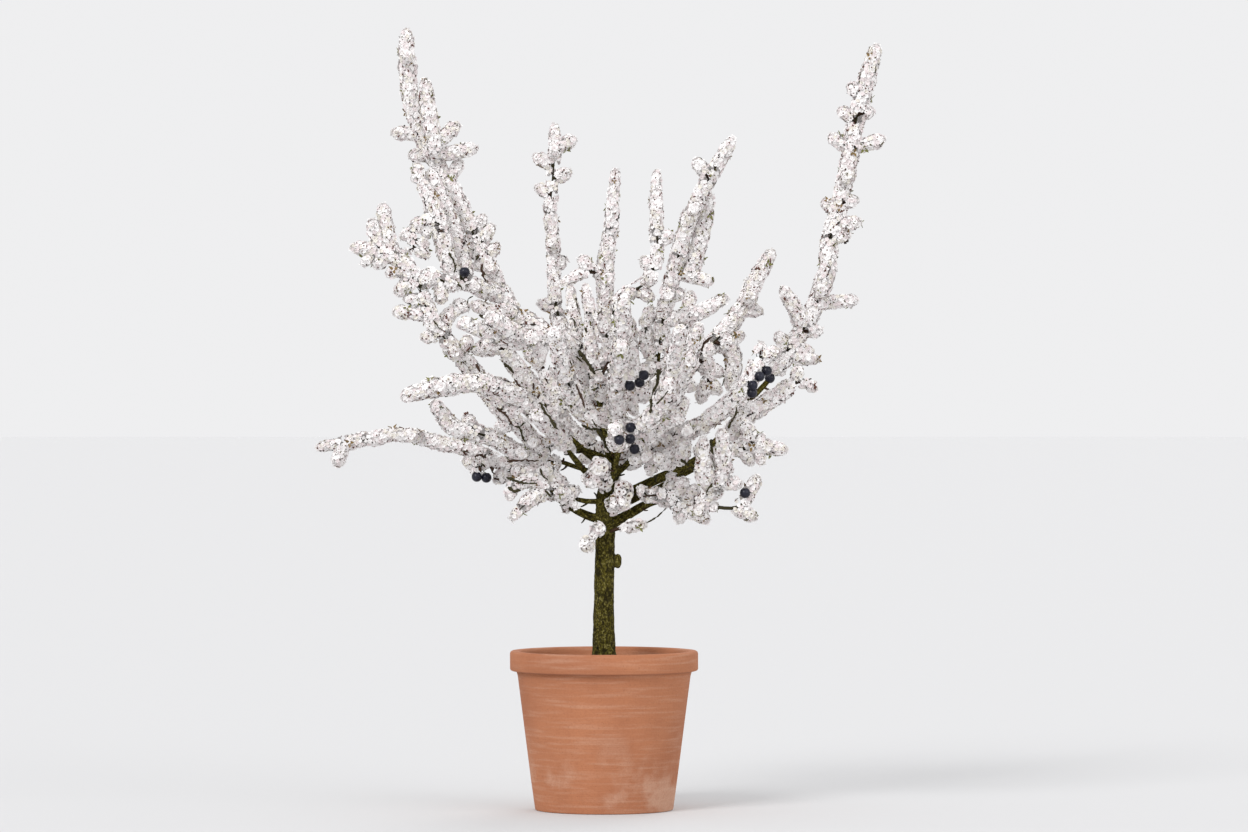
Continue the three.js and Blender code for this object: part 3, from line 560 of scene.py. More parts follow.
# Masses that grow straight out of the trunk
TRUNK_MASSES = {
    "right_spray": {
        "leaves": 372,
        "stem": [
            [60, -28, 386], [121, -50, 424], [197, -95, 456], [235, -102, 486], [274, -108, 522],
            [298, -104, 560], [312, -98, 596], [314, -96, 612],
        ],
        "sides": [[[96, -60, 396], [128, -78, 374]], [[160, -90, 408], [152, -96, 382]]],
        "berries": [[310, 552], [325, 563], [335, 548], [296, 534], [295, 519]],
    },
    "fork_left_tuft": {"leaves": 250, "stem": [[-14, -34, 244], [-32, -44, 218]], "sleeve": 20},
    "fork_right_tuft": {"leaves": 238, "stem": [[36, -40, 248], [76, -50, 254]], "sleeve": 31, "bare": 50},
    "trunk_tuft": {"leaves": 288, "stem": [[28, -38, 300], [44, -54, 322]], "sleeve": 46},
    "short_left_tuft": {"leaves": 336, "stem": [[0, -52, 346], [-10, -78, 374]]},
}


def smooth_line(points, steps=16):
    """A centripetal curve through the points."""
    places = np.array(points, float)
    padded = np.vstack([2 * places[0] - places[1], places, 2 * places[-1] - places[-2]])
    line = []
    for a, b, c, d in zip(padded, padded[1:], padded[2:], padded[3:]):
        before, here, after = (math.sqrt(np.linalg.norm(q - p)) for p, q in ((a, b), (b, c), (c, d)))
        leave = ((b - a) / before - (c - a) / (before + here) + (c - b) / here) * here
        arrive = ((c - b) / here - (d - b) / (here + after) + (d - c) / after) * here
        for t in np.arange(steps) / steps:
            bend = (2 * b - 2 * c + leave + arrive) * t**3
            line.append(bend + (3 * c - 3 * b - 2 * leave - arrive) * t**2 + leave * t + b)
    line.append(places[-1])
    return np.array(line)


def unit(vectors):
    """The vectors, each made one long."""
    return vectors / np.maximum(np.linalg.norm(vectors, axis=-1, keepdims=True), 1e-9)


class Route:
    """A smooth curve through points, measured along its length, with a frame that doesn't twist."""

    def __init__(self, points):
        self.line = smooth_line(points)
        steps = np.linalg.norm(np.diff(self.line, axis=0), axis=1)
        self.along = np.concatenate([[0.0], np.cumsum(steps)])
        self.length = self.along[-1]
        self.tangents = unit(np.gradient(self.line, axis=0))
        side = np.array([0.0, 0.0, 1.0]) if abs(self.tangents[0][2]) < 0.9 else np.array([1.0, 0.0, 0.0])
        normals = []
        for tangent in self.tangents:
            side = unit(side - tangent * (side @ tangent))
            normals.append(side)
        self.normals = np.array(normals)

    def spread(self, values, shares):
        """What the values along the line are at shares of its length."""
        reached = np.asarray(shares) * self.length
        return np.stack([np.interp(reached, self.along, values[:, i]) for i in range(3)], axis=-1)

    def at(self, shares):
        """Places at shares of the length."""
        return self.spread(self.line, shares)

    def frames(self, shares):
        """Place, tangent, normal and binormal at each share."""
        tangents = unit(self.spread(self.tangents, shares))
        normals = self.spread(self.normals, shares)
        normals = unit(normals - tangents * np.sum(normals * tangents, axis=-1, keepdims=True))
        return self.at(shares), tangents, normals, np.cross(tangents, normals)

    def round_at(self, along, turn):
        """Place and tangent at a length along the line, and the direction outward at a turn round it."""
        place, tangent, normal, binormal = (part[0] for part in self.frames([along / self.length]))
        return place, tangent, normal * math.cos(turn) + binormal * math.sin(turn)

    def nearest(self, point):
        """Share of the nearest place to a point, and how far away it is."""
        shares = np.arange(FRAME_STEPS + 1) / FRAME_STEPS
        away = np.linalg.norm(self.at(shares) - point, axis=1)
        best = int(np.argmin(away))
        return shares[best], away[best]


class Shoot:
    """A curve with a sleeve of blossom round it, bare over its first stretch or, with a cap, round there."""

    def __init__(
        self, mass, points, sleeve, bare, foot_radius=TWIG_RADIUS, spur=False, head=HEAD_RADIUS, cap=0
    ):
        first, second, before, last = (np.array(points[i], float) for i in (0, 1, -2, -1))
        start = first - cap * unit(second - first)
        reached = last + unit(last - before) * (TIP_REACH + HEAD_REACH * spur)
        self.route = Route([start, *points[1:-1], reached])
        self.cap = cap
        self.length = self.route.length
        self.head = head
        self.mass, self.sleeve, self.bare = mass, sleeve, bare
        self.foot_radius, self.spur = foot_radius, spur

    def radius(self, along):
        """The blossom's outer radius at lengths along the shoot: it swells, narrows and ends round."""
        along = np.asarray(along, float)
        if self.spur:
            full = end = self.head
        else:
            share = TIP_SHARE + (1 - TIP_SHARE) * np.clip((self.length - along) / TIP_LENGTH, 0, 1)
            full = 0.5 * self.sleeve * share
            end = 0.5 * self.sleeve * TIP_SHARE
        to_tip = np.clip(self.length - along, 0, end)
        rounded = np.sqrt(np.maximum(0, end**2 - (end - to_tip) ** 2)) / end
        swell = np.clip((along - self.bare) / SWELL_LENGTH, 0, 1) if self.bare else 1
        if self.cap:
            swell = np.sqrt(1 - (1 - np.clip(along / self.cap, 0, 1)) ** 2)
        return full * rounded * swell


def foot_on(route, point):
    """The place where a side shoot leaves its parent: below the point nearest to its next point."""
    share, away = route.nearest(point)
    along = max(FOOT_LEAST, share * route.length - FOOT_SLIDE * away)
    return route.at(min(1, along / route.length))


def tip_place(route, tip):
    """A spur's tip stands at the depth of the shoot that carries it."""
    line = route.at(np.arange(FRAME_STEPS + 1) / FRAME_STEPS)
    away = np.hypot(line[:, 0] - tip[0], line[:, 2] - tip[1])
    return np.array([tip[0], line[int(np.argmin(away))][1], tip[1]])


def shoots_of(name, limb, foot, foot_radius):
    """A mass's stem, sides and spurs."""
    sleeve = limb.get("sleeve", SLEEVE)
    stem = Shoot(name, [foot, *limb["stem"]], sleeve, limb.get("bare", BARE_START), foot_radius)
    shoots = [stem]
    for side in limb.get("sides", []):
        points, bare = (side["points"], side["bare"]) if isinstance(side, dict) else (side, 0)
        parent = min(shoots, key=lambda shoot: shoot.route.nearest(points[0])[1])
        shoots.append(Shoot(name, [foot_on(parent.route, points[0]), *points], sleeve, bare))
    spurs = []
    for tip in limb.get("tips", []):
        places = [(shoot, tip_place(shoot.route, tip)) for shoot in shoots]
        parent, place = min(places, key=lambda pair: pair[0].route.nearest(pair[1])[1])
        points = [foot_on(parent.route, place), place]
        spurs.append(Shoot(name, points, SPUR_SHARE * sleeve, 0, spur=True))
    return shoots + spurs


def round_spur(mass, foot, tip, head):
    """A spur whose blossom is one round head, closed at its foot too."""
    return Shoot(mass, [foot, tip], 2 * head, 0, SPUR_STALK, True, head, HEAD_CAP * head)


def trunk_point(route, height):
    """The trunk's axis at a height."""
    line = route.at(np.arange(FRAME_STEPS + 1) / FRAME_STEPS)
    return line[int(np.argmin(abs(line[:, 2] - height)))]


def sleeve_rows(shoots):
    """Places along the shoots and the blossom's radius there, as rows of right, back, up and radius."""
    rows = []
    for shoot in shoots:
        along = np.arange(0, shoot.length, 0.5 * AXIS_STEP)
        rows.append(np.column_stack([shoot.route.at(along / shoot.length), shoot.radius(along)]))
    return np.vstack(rows)


class Plant:
    """Trunk, boughs and shoots, grown by the rule."""

    def __init__(self):
        self.trunk = Route([place for place, _ in TRUNK])
        self.boughs = {}
        self.shoots = []
        for name, limb in LIMBS.items():
            route = Route([trunk_point(self.trunk, limb["leaves"]), *limb["bough"]])
            radii = [thickness / 2 for thickness in limb["thickness"]]
            self.boughs[name] = (route, radii)
            self.shoots += shoots_of(name, limb, route.at(1), radii[1])
        for name, limb in TRUNK_MASSES.items():
            self.shoots += shoots_of(name, limb, trunk_point(self.trunk, limb["leaves"]), TWIG_RADIUS)
        self.shoots += self.small_heads()
        self.shoots += self.side_spurs()
        self.shoots += self.bough_spurs()
        self.surface = sleeve_rows(self.shoots)

    def small_heads(self):
        """The listed heads: each stands on its nearest shoot, at that shoot's depth or its own."""
        heads = []
        carriers = [shoot for shoot in self.shoots if not shoot.spur]
        for right, up, radius, *back in SMALL_HEADS:
            found = []
            for shoot in carriers:
                place = np.array([right, *back, up], float) if back else tip_place(shoot.route, (right, up))
                found.append((shoot.route.nearest(place)[1], shoot, place))
            _, parent, place = min(found, key=lambda item: item[0])
            heads.append(round_spur(parent.mass, foot_on(parent.route, place), place, radius))
        return heads

    def side_spurs(self):
        """Spurs that point forward and back, which the front view doesn't tell apart, to fill the sides."""
        draw = random.Random(5)
        spurs = []
        carriers = [shoot for shoot in self.shoots if not shoot.spur and shoot.length > 2 * SIDE_SPUR_STEP]
        axes = np.vstack([shoot.route.at(np.arange(0, 1, 0.02)) for shoot in self.shoots])
        for shoot in carriers:
            along = shoot.bare + SIDE_SPUR_STEP * draw.uniform(*SIDE_SPUR_STARTS)
            way = draw.choice((-1, 1))
            while along < shoot.length - 0.5 * SIDE_SPUR_STEP:
                place, tangent, _ = shoot.route.round_at(along, 0)
                outward = np.array([0, way, 0.0]) - tangent * (way * tangent[1])
                ahead = unit(outward) + SPUR_LEAN * tangent
                tip = place + SIDE_SPUR_LENGTH * ahead * draw.uniform(*SIDE_SPUR_SIZES)
                own = np.linalg.norm(axes - place, axis=1) < 0.1 * SIDE_SPUR_STEP
                if np.linalg.norm(axes[~own] - tip, axis=1).min() > 0.5 * SLEEVE:
                    head = SIDE_SPUR_HEAD * draw.uniform(*HEAD_SPREAD)
                    spurs.append(round_spur(shoot.mass, place, tip, head))
                along += SIDE_SPUR_STEP * draw.uniform(*STEP_SPREAD)
                way = -way
        return spurs

    def bough_spurs(self):
        """Spurs on the boughs wherever other blossom hides them in the front view, to fill the sides."""
        draw = random.Random(8)
        right, back, up, radius = sleeve_rows(self.shoots).T
        reach = HIDDEN_SHARE * SIDE_SPUR_HEAD
        spurs = []
        for name, (route, _) in self.boughs.items():
            along = BOUGH_SPUR_START * route.length
            turn = draw.uniform(0, 2 * math.pi)
            while along < route.length:
                place, tangent, outward = route.round_at(along, turn)
                tip = place + BOUGH_SPUR_LENGTH * (outward + SPUR_LEAN * tangent)
                hidden = True
                for aside, above in ((0, 0), (-1, 0), (1, 0), (0, -1), (0, 1)):
                    apart = np.hypot(right - tip[0] - reach * aside, up - tip[2] - reach * above)
                    hidden = hidden and np.any((apart < radius) & (back < tip[1] - SIDE_SPUR_HEAD))
                if hidden:
                    spurs.append(round_spur(name, place, tip, SIDE_SPUR_HEAD * draw.uniform(*HEAD_SPREAD)))
                along += BOUGH_SPUR_STEP * draw.uniform(*STEP_SPREAD)
                turn += GOLDEN_ANGLE
        return spurs

    def front(self, right, up, margin=0.0):
        """How far back the frontmost blossom is at a place of the front view, or else the nearest twig."""
        apart = np.hypot(self.surface[:, 0] - right, self.surface[:, 2] - up)
        radius = self.surface[:, 3]
        close = apart < radius + margin
        if not close.any():
            return self.surface[int(np.argmin(apart)), 1]
        ahead = np.sqrt(np.maximum(radius[close] ** 2 - apart[close] ** 2, 0))
        return np.min(self.surface[close, 1] - ahead)

    def bare_twigs(self):
        """Half thickness, colour and places of each bare twig, on the frontmost blossom that it crosses."""
        found = []
        for half, tint, *places in BARE_TWIGS:
            depth = min(self.front(right, up) for right, up in places) + BARE_TWIG_SINK * half
            found.append((half, tint, np.array([[right, depth, up] for right, up in places])))
        return found

    def berries(self):
        """Where each fruit hangs, in front of the blossom there, and the place that its stalk comes from."""
        hung = []
        for limb in (*LIMBS.values(), *TRUNK_MASSES.values()):
            for right, up in limb.get("berries", []):
                place = np.array([right, self.front(right, up, 0.5 * BERRY_RADIUS), up])
                away = np.linalg.norm(self.surface[:, :3] - place, axis=1)
                hung.append((self.surface[int(np.argmin(away)), :3], place))
        return hung


def to_metres(points):
    """Points in metres from the floor, of points in millimetres from the rim."""
    placed = np.array(points, float) * MM
    placed[..., 2] += RIM * MM
    return placed


def clear_selection():
    """Object mode, with nothing selected."""
    if bpy.context.object and bpy.context.object.mode != "OBJECT":
        bpy.ops.object.mode_set(mode="OBJECT")
    bpy.ops.object.select_all(action="DESELECT")


def mesh_object(name, points, faces, materials, slots):
    """A smooth object from points, in millimetres from the rim, and faces with as many corners each."""
    mesh = bpy.data.meshes.new(name)
    faces = np.asarray(faces, np.int32)
    count, corners = faces.shape
    mesh.vertices.add(len(points))
    mesh.vertices.foreach_set("co", to_metres(points).astype(np.float32).ravel())
    mesh.loops.add(count * corners)
    mesh.loops.foreach_set("vertex_index", faces.ravel())
    mesh.polygons.add(count)
    mesh.polygons.foreach_set("loop_start", np.arange(count, dtype=np.int32) * corners)
    mesh.polygons.foreach_set("use_smooth", np.ones(count, bool))
    for material in materials:
        mesh.materials.append(material)
    mesh.polygons.foreach_set("material_index", np.asarray(slots, np.int32))
    mesh.update(calc_edges=True)
    obj = bpy.data.objects.new(name, mesh)
    bpy.context.collection.objects.link(obj)
    return obj


def tube(centres, normals, binormals, radii, sides):
    """Points and triangles of a closed tube round a line."""
    angles = np.arange(sides) * 2 * math.pi / sides
    across = normals[:, None] * np.cos(angles)[None, :, None]
    across = across + binormals[:, None] * np.sin(angles)[None, :, None]
    rings = centres[:, None] + across * np.asarray(radii, float)[:, None, None]
    points = np.vstack([rings.reshape(-1, 3), centres[:1], centres[-1:]])
    faces = []
    last = len(centres) - 1
    first_end, far_end = len(points) - 2, len(points) - 1
    for j in range(sides):
        k = (j + 1) % sides
        for i in range(last):
            a, b = i * sides + j, i * sides + k
            faces += [(a, b, b + sides), (a, b + sides, a + sides)]
        faces += [(first_end, k, j), (far_end, last * sides + j, last * sides + k)]
    return points, np.array(faces)


class Heap:
    """Many small shapes gathered into one mesh."""

    def __init__(self):
        self.points, self.faces, self.slots, self.count = [], [], [], 0

    def add(self, points, faces, slots=0):
        self.points.append(points)
        self.faces.append(np.asarray(faces) + self.count)
        self.slots.append(np.broadcast_to(slots, len(faces)))
        self.count += len(points)

    def stamp(self, shape, places, bases, slots=0):
        """A copy of a shape at each place, turned and sized by its basis, in one slot or in a slot each."""
        points, faces = shape
        count = len(places)
        if not count:
            return
        moved = np.einsum("nij,vj->nvi", bases, points) + places[:, None]
        starts = np.arange(count) * len(points)
        all_faces = (faces[None] + starts[:, None, None]).reshape(-1, 3)
        self.add(moved.reshape(-1, 3), all_faces, np.repeat(np.broadcast_to(slots, count), len(faces)))

    def line(self, route, radii, sides, slot):
        """A tube along a route, with the radii evenly spread over it."""
        places, _, normals, binormals = route.frames(np.linspace(0, 1, len(radii)))
        self.add(*tube(places, normals, binormals, radii, sides), slot)

    def make(self, name, materials):
        """The heap as one object."""
        slots = np.concatenate(self.slots)
        return mesh_object(name, np.vstack(self.points), np.vstack(self.faces), materials, slots)


def bases_round(outward, turns, sizes):
    """A basis for each direction: its third axis points outward, the others turned round it."""
    helper = np.where(np.abs(outward[:, 2:]) < 0.9, [[0.0, 0.0, 1.0]], [[1.0, 0.0, 0.0]])
    across = unit(np.cross(helper, outward))
    up = np.cross(outward, across)
    cos, sin = np.cos(turns)[:, None], np.sin(turns)[:, None]
    first, second = across * cos + up * sin, up * cos - across * sin
    return np.stack([first, second, outward], axis=2) * np.asarray(sizes)[:, None, None]


def take_shape(obj):
    """The points, in millimetres, and triangles of a modelled piece, which is then removed."""
    mesh = obj.data
    mesh.calc_loop_triangles()
    points = np.array([vertex.co[:] for vertex in mesh.vertices]) / MM
    faces = np.array([triangle.vertices[:] for triangle in mesh.loop_triangles])
    bpy.data.objects.remove(obj)
    return points, faces


def edit_piece():
    """Edit mode, with nothing selected."""
    bpy.ops.object.mode_set(mode="EDIT")
    bpy.ops.mesh.select_all(action="DESELECT")


def pick(test, kind="verts"):
    """In edit mode, selects the vertices, or faces by their centres, that pass a test."""
    mesh = bpy.context.object.data
    edit = bmesh.from_edit_mesh(mesh)
    bpy.ops.mesh.select_mode(type="VERT" if kind == "verts" else "FACE")
    for part in getattr(edit, kind):
        part.select_set(test(part.co if kind == "verts" else part.calc_center_median()))
    edit.select_flush_mode()
    bmesh.update_edit_mesh(mesh)


def close_piece(obj):
    """Ends the modelling of a piece: object mode, its place, turn and size in its mesh."""
    if obj.mode != "OBJECT":
        bpy.ops.object.mode_set(mode="OBJECT")
    bpy.ops.object.transform_apply(location=True, rotation=True, scale=True)
    return obj


def use_modifier(obj, kind, **values):
    """Adds a modifier with its values and applies it."""
    modifier = obj.modifiers.new(kind.title(), kind)
    for name, value in values.items():
        setattr(modifier, name, value)
    bpy.context.view_layer.objects.active = obj
    bpy.ops.object.modifier_apply(modifier=modifier.name)


def finish_piece(obj, slot, *nodes):
    """What the frame has to know of a piece: its body and the nodes that it replaces. The slot is not used.
    """
    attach(obj, "root")
    if nodes:
        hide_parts(*nodes)


def add_node(tree, kind, inputs=None, **settings):
    """A node with its settings, and each input either linked to a socket or set to a value."""
    node = tree.nodes.new(kind)
    for name, value in settings.items():
        setattr(node, name, value)
    for socket, value in (inputs or {}).items():
        if isinstance(value, bpy.types.NodeSocket):
            tree.links.new(value, node.inputs[socket])
        else:
            node.inputs[socket].default_value = value
    return node


def colour(rgb):
    """A colour with its alpha."""
    return (*rgb, 1.0)


def make_group(name, inputs, outputs):
    """An empty shader node group with named sockets."""
    group = bpy.data.node_groups.new(name, "ShaderNodeTree")
    for label, kind, value in inputs:
        socket = group.interface.new_socket(label, in_out="INPUT", socket_type=kind)
        if value is not None:
            socket.default_value = value
    for label, kind in outputs:
        group.interface.new_socket(label, in_out="OUTPUT", socket_type=kind)
    return group, group.nodes.new("NodeGroupInput").outputs, group.nodes.new("NodeGroupOutput").inputs


def patches_group():
    """Soft-edged patches: a mask from noise."""
    wanted = [
        ("Vector", "NodeSocketVector", None),
        ("Scale", "NodeSocketFloat", 10.0),
        ("Detail", "NodeSocketFloat", 4.0),
        ("From", "NodeSocketFloat", 0.45),
        ("To", "NodeSocketFloat", 0.6),
    ]
    group, given, result = make_group("Patches", wanted, [("Mask", "NodeSocketFloat")])
    noise_node = add_node(
        group,
        "ShaderNodeTexNoise",
        {"Vector": given["Vector"], "Scale": given["Scale"], "Detail": given["Detail"]},
    )
    ranged = add_node(
        group,
        "ShaderNodeMapRange",
        {"Value": noise_node.outputs["Fac"], "From Min": given["From"], "From Max": given["To"]},
        interpolation_type="SMOOTHSTEP",
    )
    group.links.new(ranged.outputs["Result"], result["Mask"])
    return group


def stretched(tree, vector, scale):
    """The coordinates scaled on each axis, which stretches a pattern where the scale is small."""
    return add_node(tree, "ShaderNodeMapping", {"Vector": vector, "Scale": scale}).outputs["Vector"]


def patches(tree, vector, scale, detail, low, high):
    """A mask of soft-edged patches in noise, which begins at the low value and is full at the high one."""
    group = bpy.data.node_groups.get("Patches") or patches_group()
    inputs = {"Vector": vector, "Scale": scale, "Detail": detail, "From": low, "To": high}
    return add_node(tree, "ShaderNodeGroup", inputs, node_tree=group).outputs["Mask"]


def scaled(tree, value, share):
    """A value times another."""
    return add_node(tree, "ShaderNodeMath", {0: value, 1: share}, operation="MULTIPLY").outputs[0]


def blend(tree, mask, first, second):
    """The first colour, and where the mask is full the second."""
    first, second = (
        value if isinstance(value, bpy.types.NodeSocket) else colour(value) for value in (first, second)
    )
    return add_node(tree, "ShaderNodeMix", {0: mask, 6: first, 7: second}, data_type="RGBA").outputs[2]


def new_material(name, base, roughness=0.6, **more):
    """A material with one Principled BSDF; returns it, its node tree and the BSDF."""
    material = bpy.data.materials.new(name)
    material.use_nodes = True
    material.diffuse_color = colour(base)
    shader = material.node_tree.nodes["Principled BSDF"]
    shader.inputs["Base Color"].default_value = colour(base)
    shader.inputs["Roughness"].default_value = roughness
    shader.inputs["Specular IOR Level"].default_value = 0.25
    for label, value in more.items():
        shader.inputs[label.replace("_", " ")].default_value = value
    return material, material.node_tree, shader


def plain(name, base, roughness=0.6, **more):
    """A material of one colour."""
    return new_material(name, base, roughness, **more)[0]


def raise_bumps(tree, shader, height, strength, distance):
    """Fine relief from a mask."""
    bump = add_node(tree, "ShaderNodeBump", {"Height": height, "Strength": strength, "Distance": distance})
    tree.links.new(bump.outputs["Normal"], shader.inputs["Normal"])


def bark_material(name, base, dark, pale):
    """Bark mottled along the limb, with dark patches, pale bands across it and fine cracks."""
    material, tree, shader = new_material(name, base, 0.9, Specular_IOR_Level=0.08)
    grain = add_node(tree, "ShaderNodeAttribute", attribute_name="grain").outputs["Vector"]
    speckles = patches(tree, stretched(tree, grain, (1, 1, 0.75)), 270, 3, 0.44, 0.58)
    blotches = patches(tree, stretched(tree, grain, (1, 1, 0.6)), 85, 5, 0.5, 0.68)
    bands = patches(tree, stretched(tree, grain, (0.3, 0.3, 1)), 120, 3, 0.55, 0.7)
    flecks = patches(tree, stretched(tree, grain, (1, 1, 0.8)), 340, 2, 0.53, 0.62)
    cracks = patches(tree, stretched(tree, grain, (1, 1, 0.25)), 260, 3, 0.62, 0.69)
    banded = blend(tree, bands, base, pale)
    flecked = blend(tree, flecks, banded, pale)
    mottled = blend(tree, scaled(tree, blotches, 0.85), flecked, dark)
    speckled = blend(tree, scaled(tree, speckles, 0.8), mottled, dark)
    cracked = blend(tree, cracks, speckled, tuple(0.5 * part for part in dark))
    tree.links.new(cracked, shader.inputs["Base Color"])
    fine = patches(tree, stretched(tree, grain, (1, 1, 0.5)), 380, 6, 0.2, 0.8)
    raise_bumps(tree, shader, fine, 0.7, 0.0012)
    return material


def clay_material(name, base, pale, damp):
    """Fired clay, turned by hand: mottled, finely grained, with salts towards the foot and fine rings."""
    material, tree, shader = new_material(name, base, 0.88)
    place = add_node(tree, "ShaderNodeTexCoord").outputs["Object"]
    height = add_node(tree, "ShaderNodeSeparateXYZ", {0: place}).outputs["Z"]
    low = add_node(
        tree,
        "ShaderNodeMapRange",
        {"Value": height, "From Min": 0.2, "From Max": 0.0},
        interpolation_type="SMOOTHSTEP",
    ).outputs["Result"]
    cloudy = patches(tree, place, 6, 8, 0.3, 0.72)
    salts = patches(tree, place, 11, 12, 0.5, 0.66)
    streaks = patches(tree, stretched(tree, place, (1, 1, 14)), 9, 6, 0.45, 0.75)
    grains = patches(tree, place, 240, 4, 0.42, 0.66)
    specks = patches(tree, place, 520, 2, 0.66, 0.72)
    crust = scaled(tree, salts, low)
    washed = blend(tree, scaled(tree, cloudy, 0.6), base, damp)
    ringed = blend(tree, scaled(tree, streaks, 0.22), washed, pale)
    salted = blend(tree, scaled(tree, crust, 0.5), ringed, pale)
    grainy = blend(tree, scaled(tree, grains, 0.22), salted, damp)
    speckled = blend(tree, scaled(tree, specks, 0.7), grainy, tuple(0.5 * part for part in base))
    tree.links.new(speckled, shader.inputs["Base Color"])
    rings = patches(tree, stretched(tree, place, (1, 1, 60)), 7, 3, 0.2, 0.8)
    rough = patches(tree, place, 300, 5, 0.2, 0.8)
    relief = add_node(tree, "ShaderNodeMath", {0: rings, 1: rough}, operation="ADD").outputs[0]
    raise_bumps(tree, shader, relief, 0.4, 0.0006)
    return material


def earth_material(name, base, pale):
    """Crumbly earth with paler, drier patches."""
    material, tree, shader = new_material(name, base, 0.97)
    place = add_node(tree, "ShaderNodeTexCoord").outputs["Object"]
    patchy = patches(tree, place, 60, 6, 0.42, 0.66)
    tree.links.new(blend(tree, patchy, base, pale), shader.inputs["Base Color"])
    raise_bumps(tree, shader, patches(tree, place, 320, 5, 0.2, 0.8), 0.8, 0.0015)
    return material


def fruit_material(name, base, bloom):
    """Dark skin under a soft, pale bloom."""
    material, tree, shader = new_material(name, base, 0.32)
    place = add_node(tree, "ShaderNodeTexCoord").outputs["Object"]
    dusty = patches(tree, place, 75, 3, 0.4, 0.75)
    tree.links.new(blend(tree, dusty, base, bloom), shader.inputs["Base Color"])
    return material


def colour_setting(name, description, default):
    """A property that holds a colour."""
    return FloatVectorProperty(
        name=name, description=description, default=default, size=3, subtype="COLOR", min=0, max=1
    )


class CherrySettings(bpy.types.PropertyGroup):
    """The sizes and colours of the dressed shrub."""

    petal_length: FloatProperty(
        name="Petal length", description="Length of one petal", default=0.005, min=0.004, unit="LENGTH"
    )
    flower_area: FloatProperty(
        name="Area a flower", description="Surface that each flower has to cover, in square centimetres",
        default=0.41, min=0.3
    )
    bark_voxel: FloatProperty(
        name="Bark mesh", description="Size of the faces of the bark", default=0.0023, min=0.0015,
        unit="LENGTH"
    )
    pot_sides: IntProperty(name="Pot sides", description="Sides of the pot", default=128, min=48)
    petal_white: colour_setting("White petals", "Colour of most petals", (0.80, 0.78, 0.775))
    # Cool and cream petals fall partly at random and partly as painted shade, with more of them in the
    # creases
    petal_cool: colour_setting("Cool petals", "Colour of the greyer, pinker petals", (0.68, 0.61, 0.61))
    petal_cream: colour_setting("Cream petals", "Colour of the warmer petals", (0.69, 0.655, 0.59))
    calyx_brown: colour_setting("Calyx", "Colour of flower centres and empty calyces", (0.115, 0.047, 0.033))
    eye_green: colour_setting("Green eye", "Colour of green flower centres and buds", (0.085, 0.075, 0.02))
    leaf_green: colour_setting("Leaf", "Colour of the young leaves", (0.17, 0.17, 0.05))
    bark_olive: colour_setting("Bark", "Colour of the trunk", (0.074, 0.062, 0.009))
    bark_dark: colour_setting("Dark bark", "Colour of the bark's dark patches", (0.013, 0.010, 0.003))
    bark_pale: colour_setting("Pale bark", "Colour of the bark's pale bands", (0.17, 0.148, 0.045))
    fruit_blue: colour_setting("Fruit", "Colour of the ripe fruit", (0.008, 0.008, 0.015))
    clay_red: colour_setting("Clay", "Colour of the pot", (0.42, 0.17, 0.085))
    soil_brown: colour_setting("Soil", "Colour of the soil", (0.045, 0.028, 0.017))
    floor_pale: colour_setting("Floor", "Colour of the floor", (0.595, 0.595, 0.6))


PLANT = Plant()


def limb_lines():
    """Each limb's places, directions, cross directions and radii, every few millimetres."""
    lines = []
    route = Route([[0, 0, SOIL_LEVEL - TRUNK_SUNK], *(place for place, _ in TRUNK[1:])])
    count = int(route.length / LIMB_STEP)
    places, tangents, normals, binormals = route.frames(np.linspace(0, 1, count))
    heights = [place[2] for place, _ in TRUNK]
    radii = np.interp(places[:, 2], heights, [radius for _, radius in TRUNK])
    lines.append((places, tangents, normals, binormals, radii))
    for name, (route, radii) in PLANT.boughs.items():
        stem = next(shoot for shoot in PLANT.shoots if shoot.mass == name)
        steps = max(4, int(route.length / LIMB_STEP))
        further = np.arange(LIMB_STEP, min(LIMB_REACH, stem.length), LIMB_STEP)
        limb = Route([*route.at(np.linspace(0, 1, steps)), *stem.route.at(further / stem.length)])
        shares = np.linspace(0, 1, steps + len(further))
        places, tangents, normals, binormals = limb.frames(shares)
        along = shares * limb.length
        radii = np.where(
            along < route.length,
            np.interp(along, [0, route.length], radii),
            twig_radius(stem, along - route.length),
        )
        lines.append((places, tangents, normals, binormals, radii))
    return lines


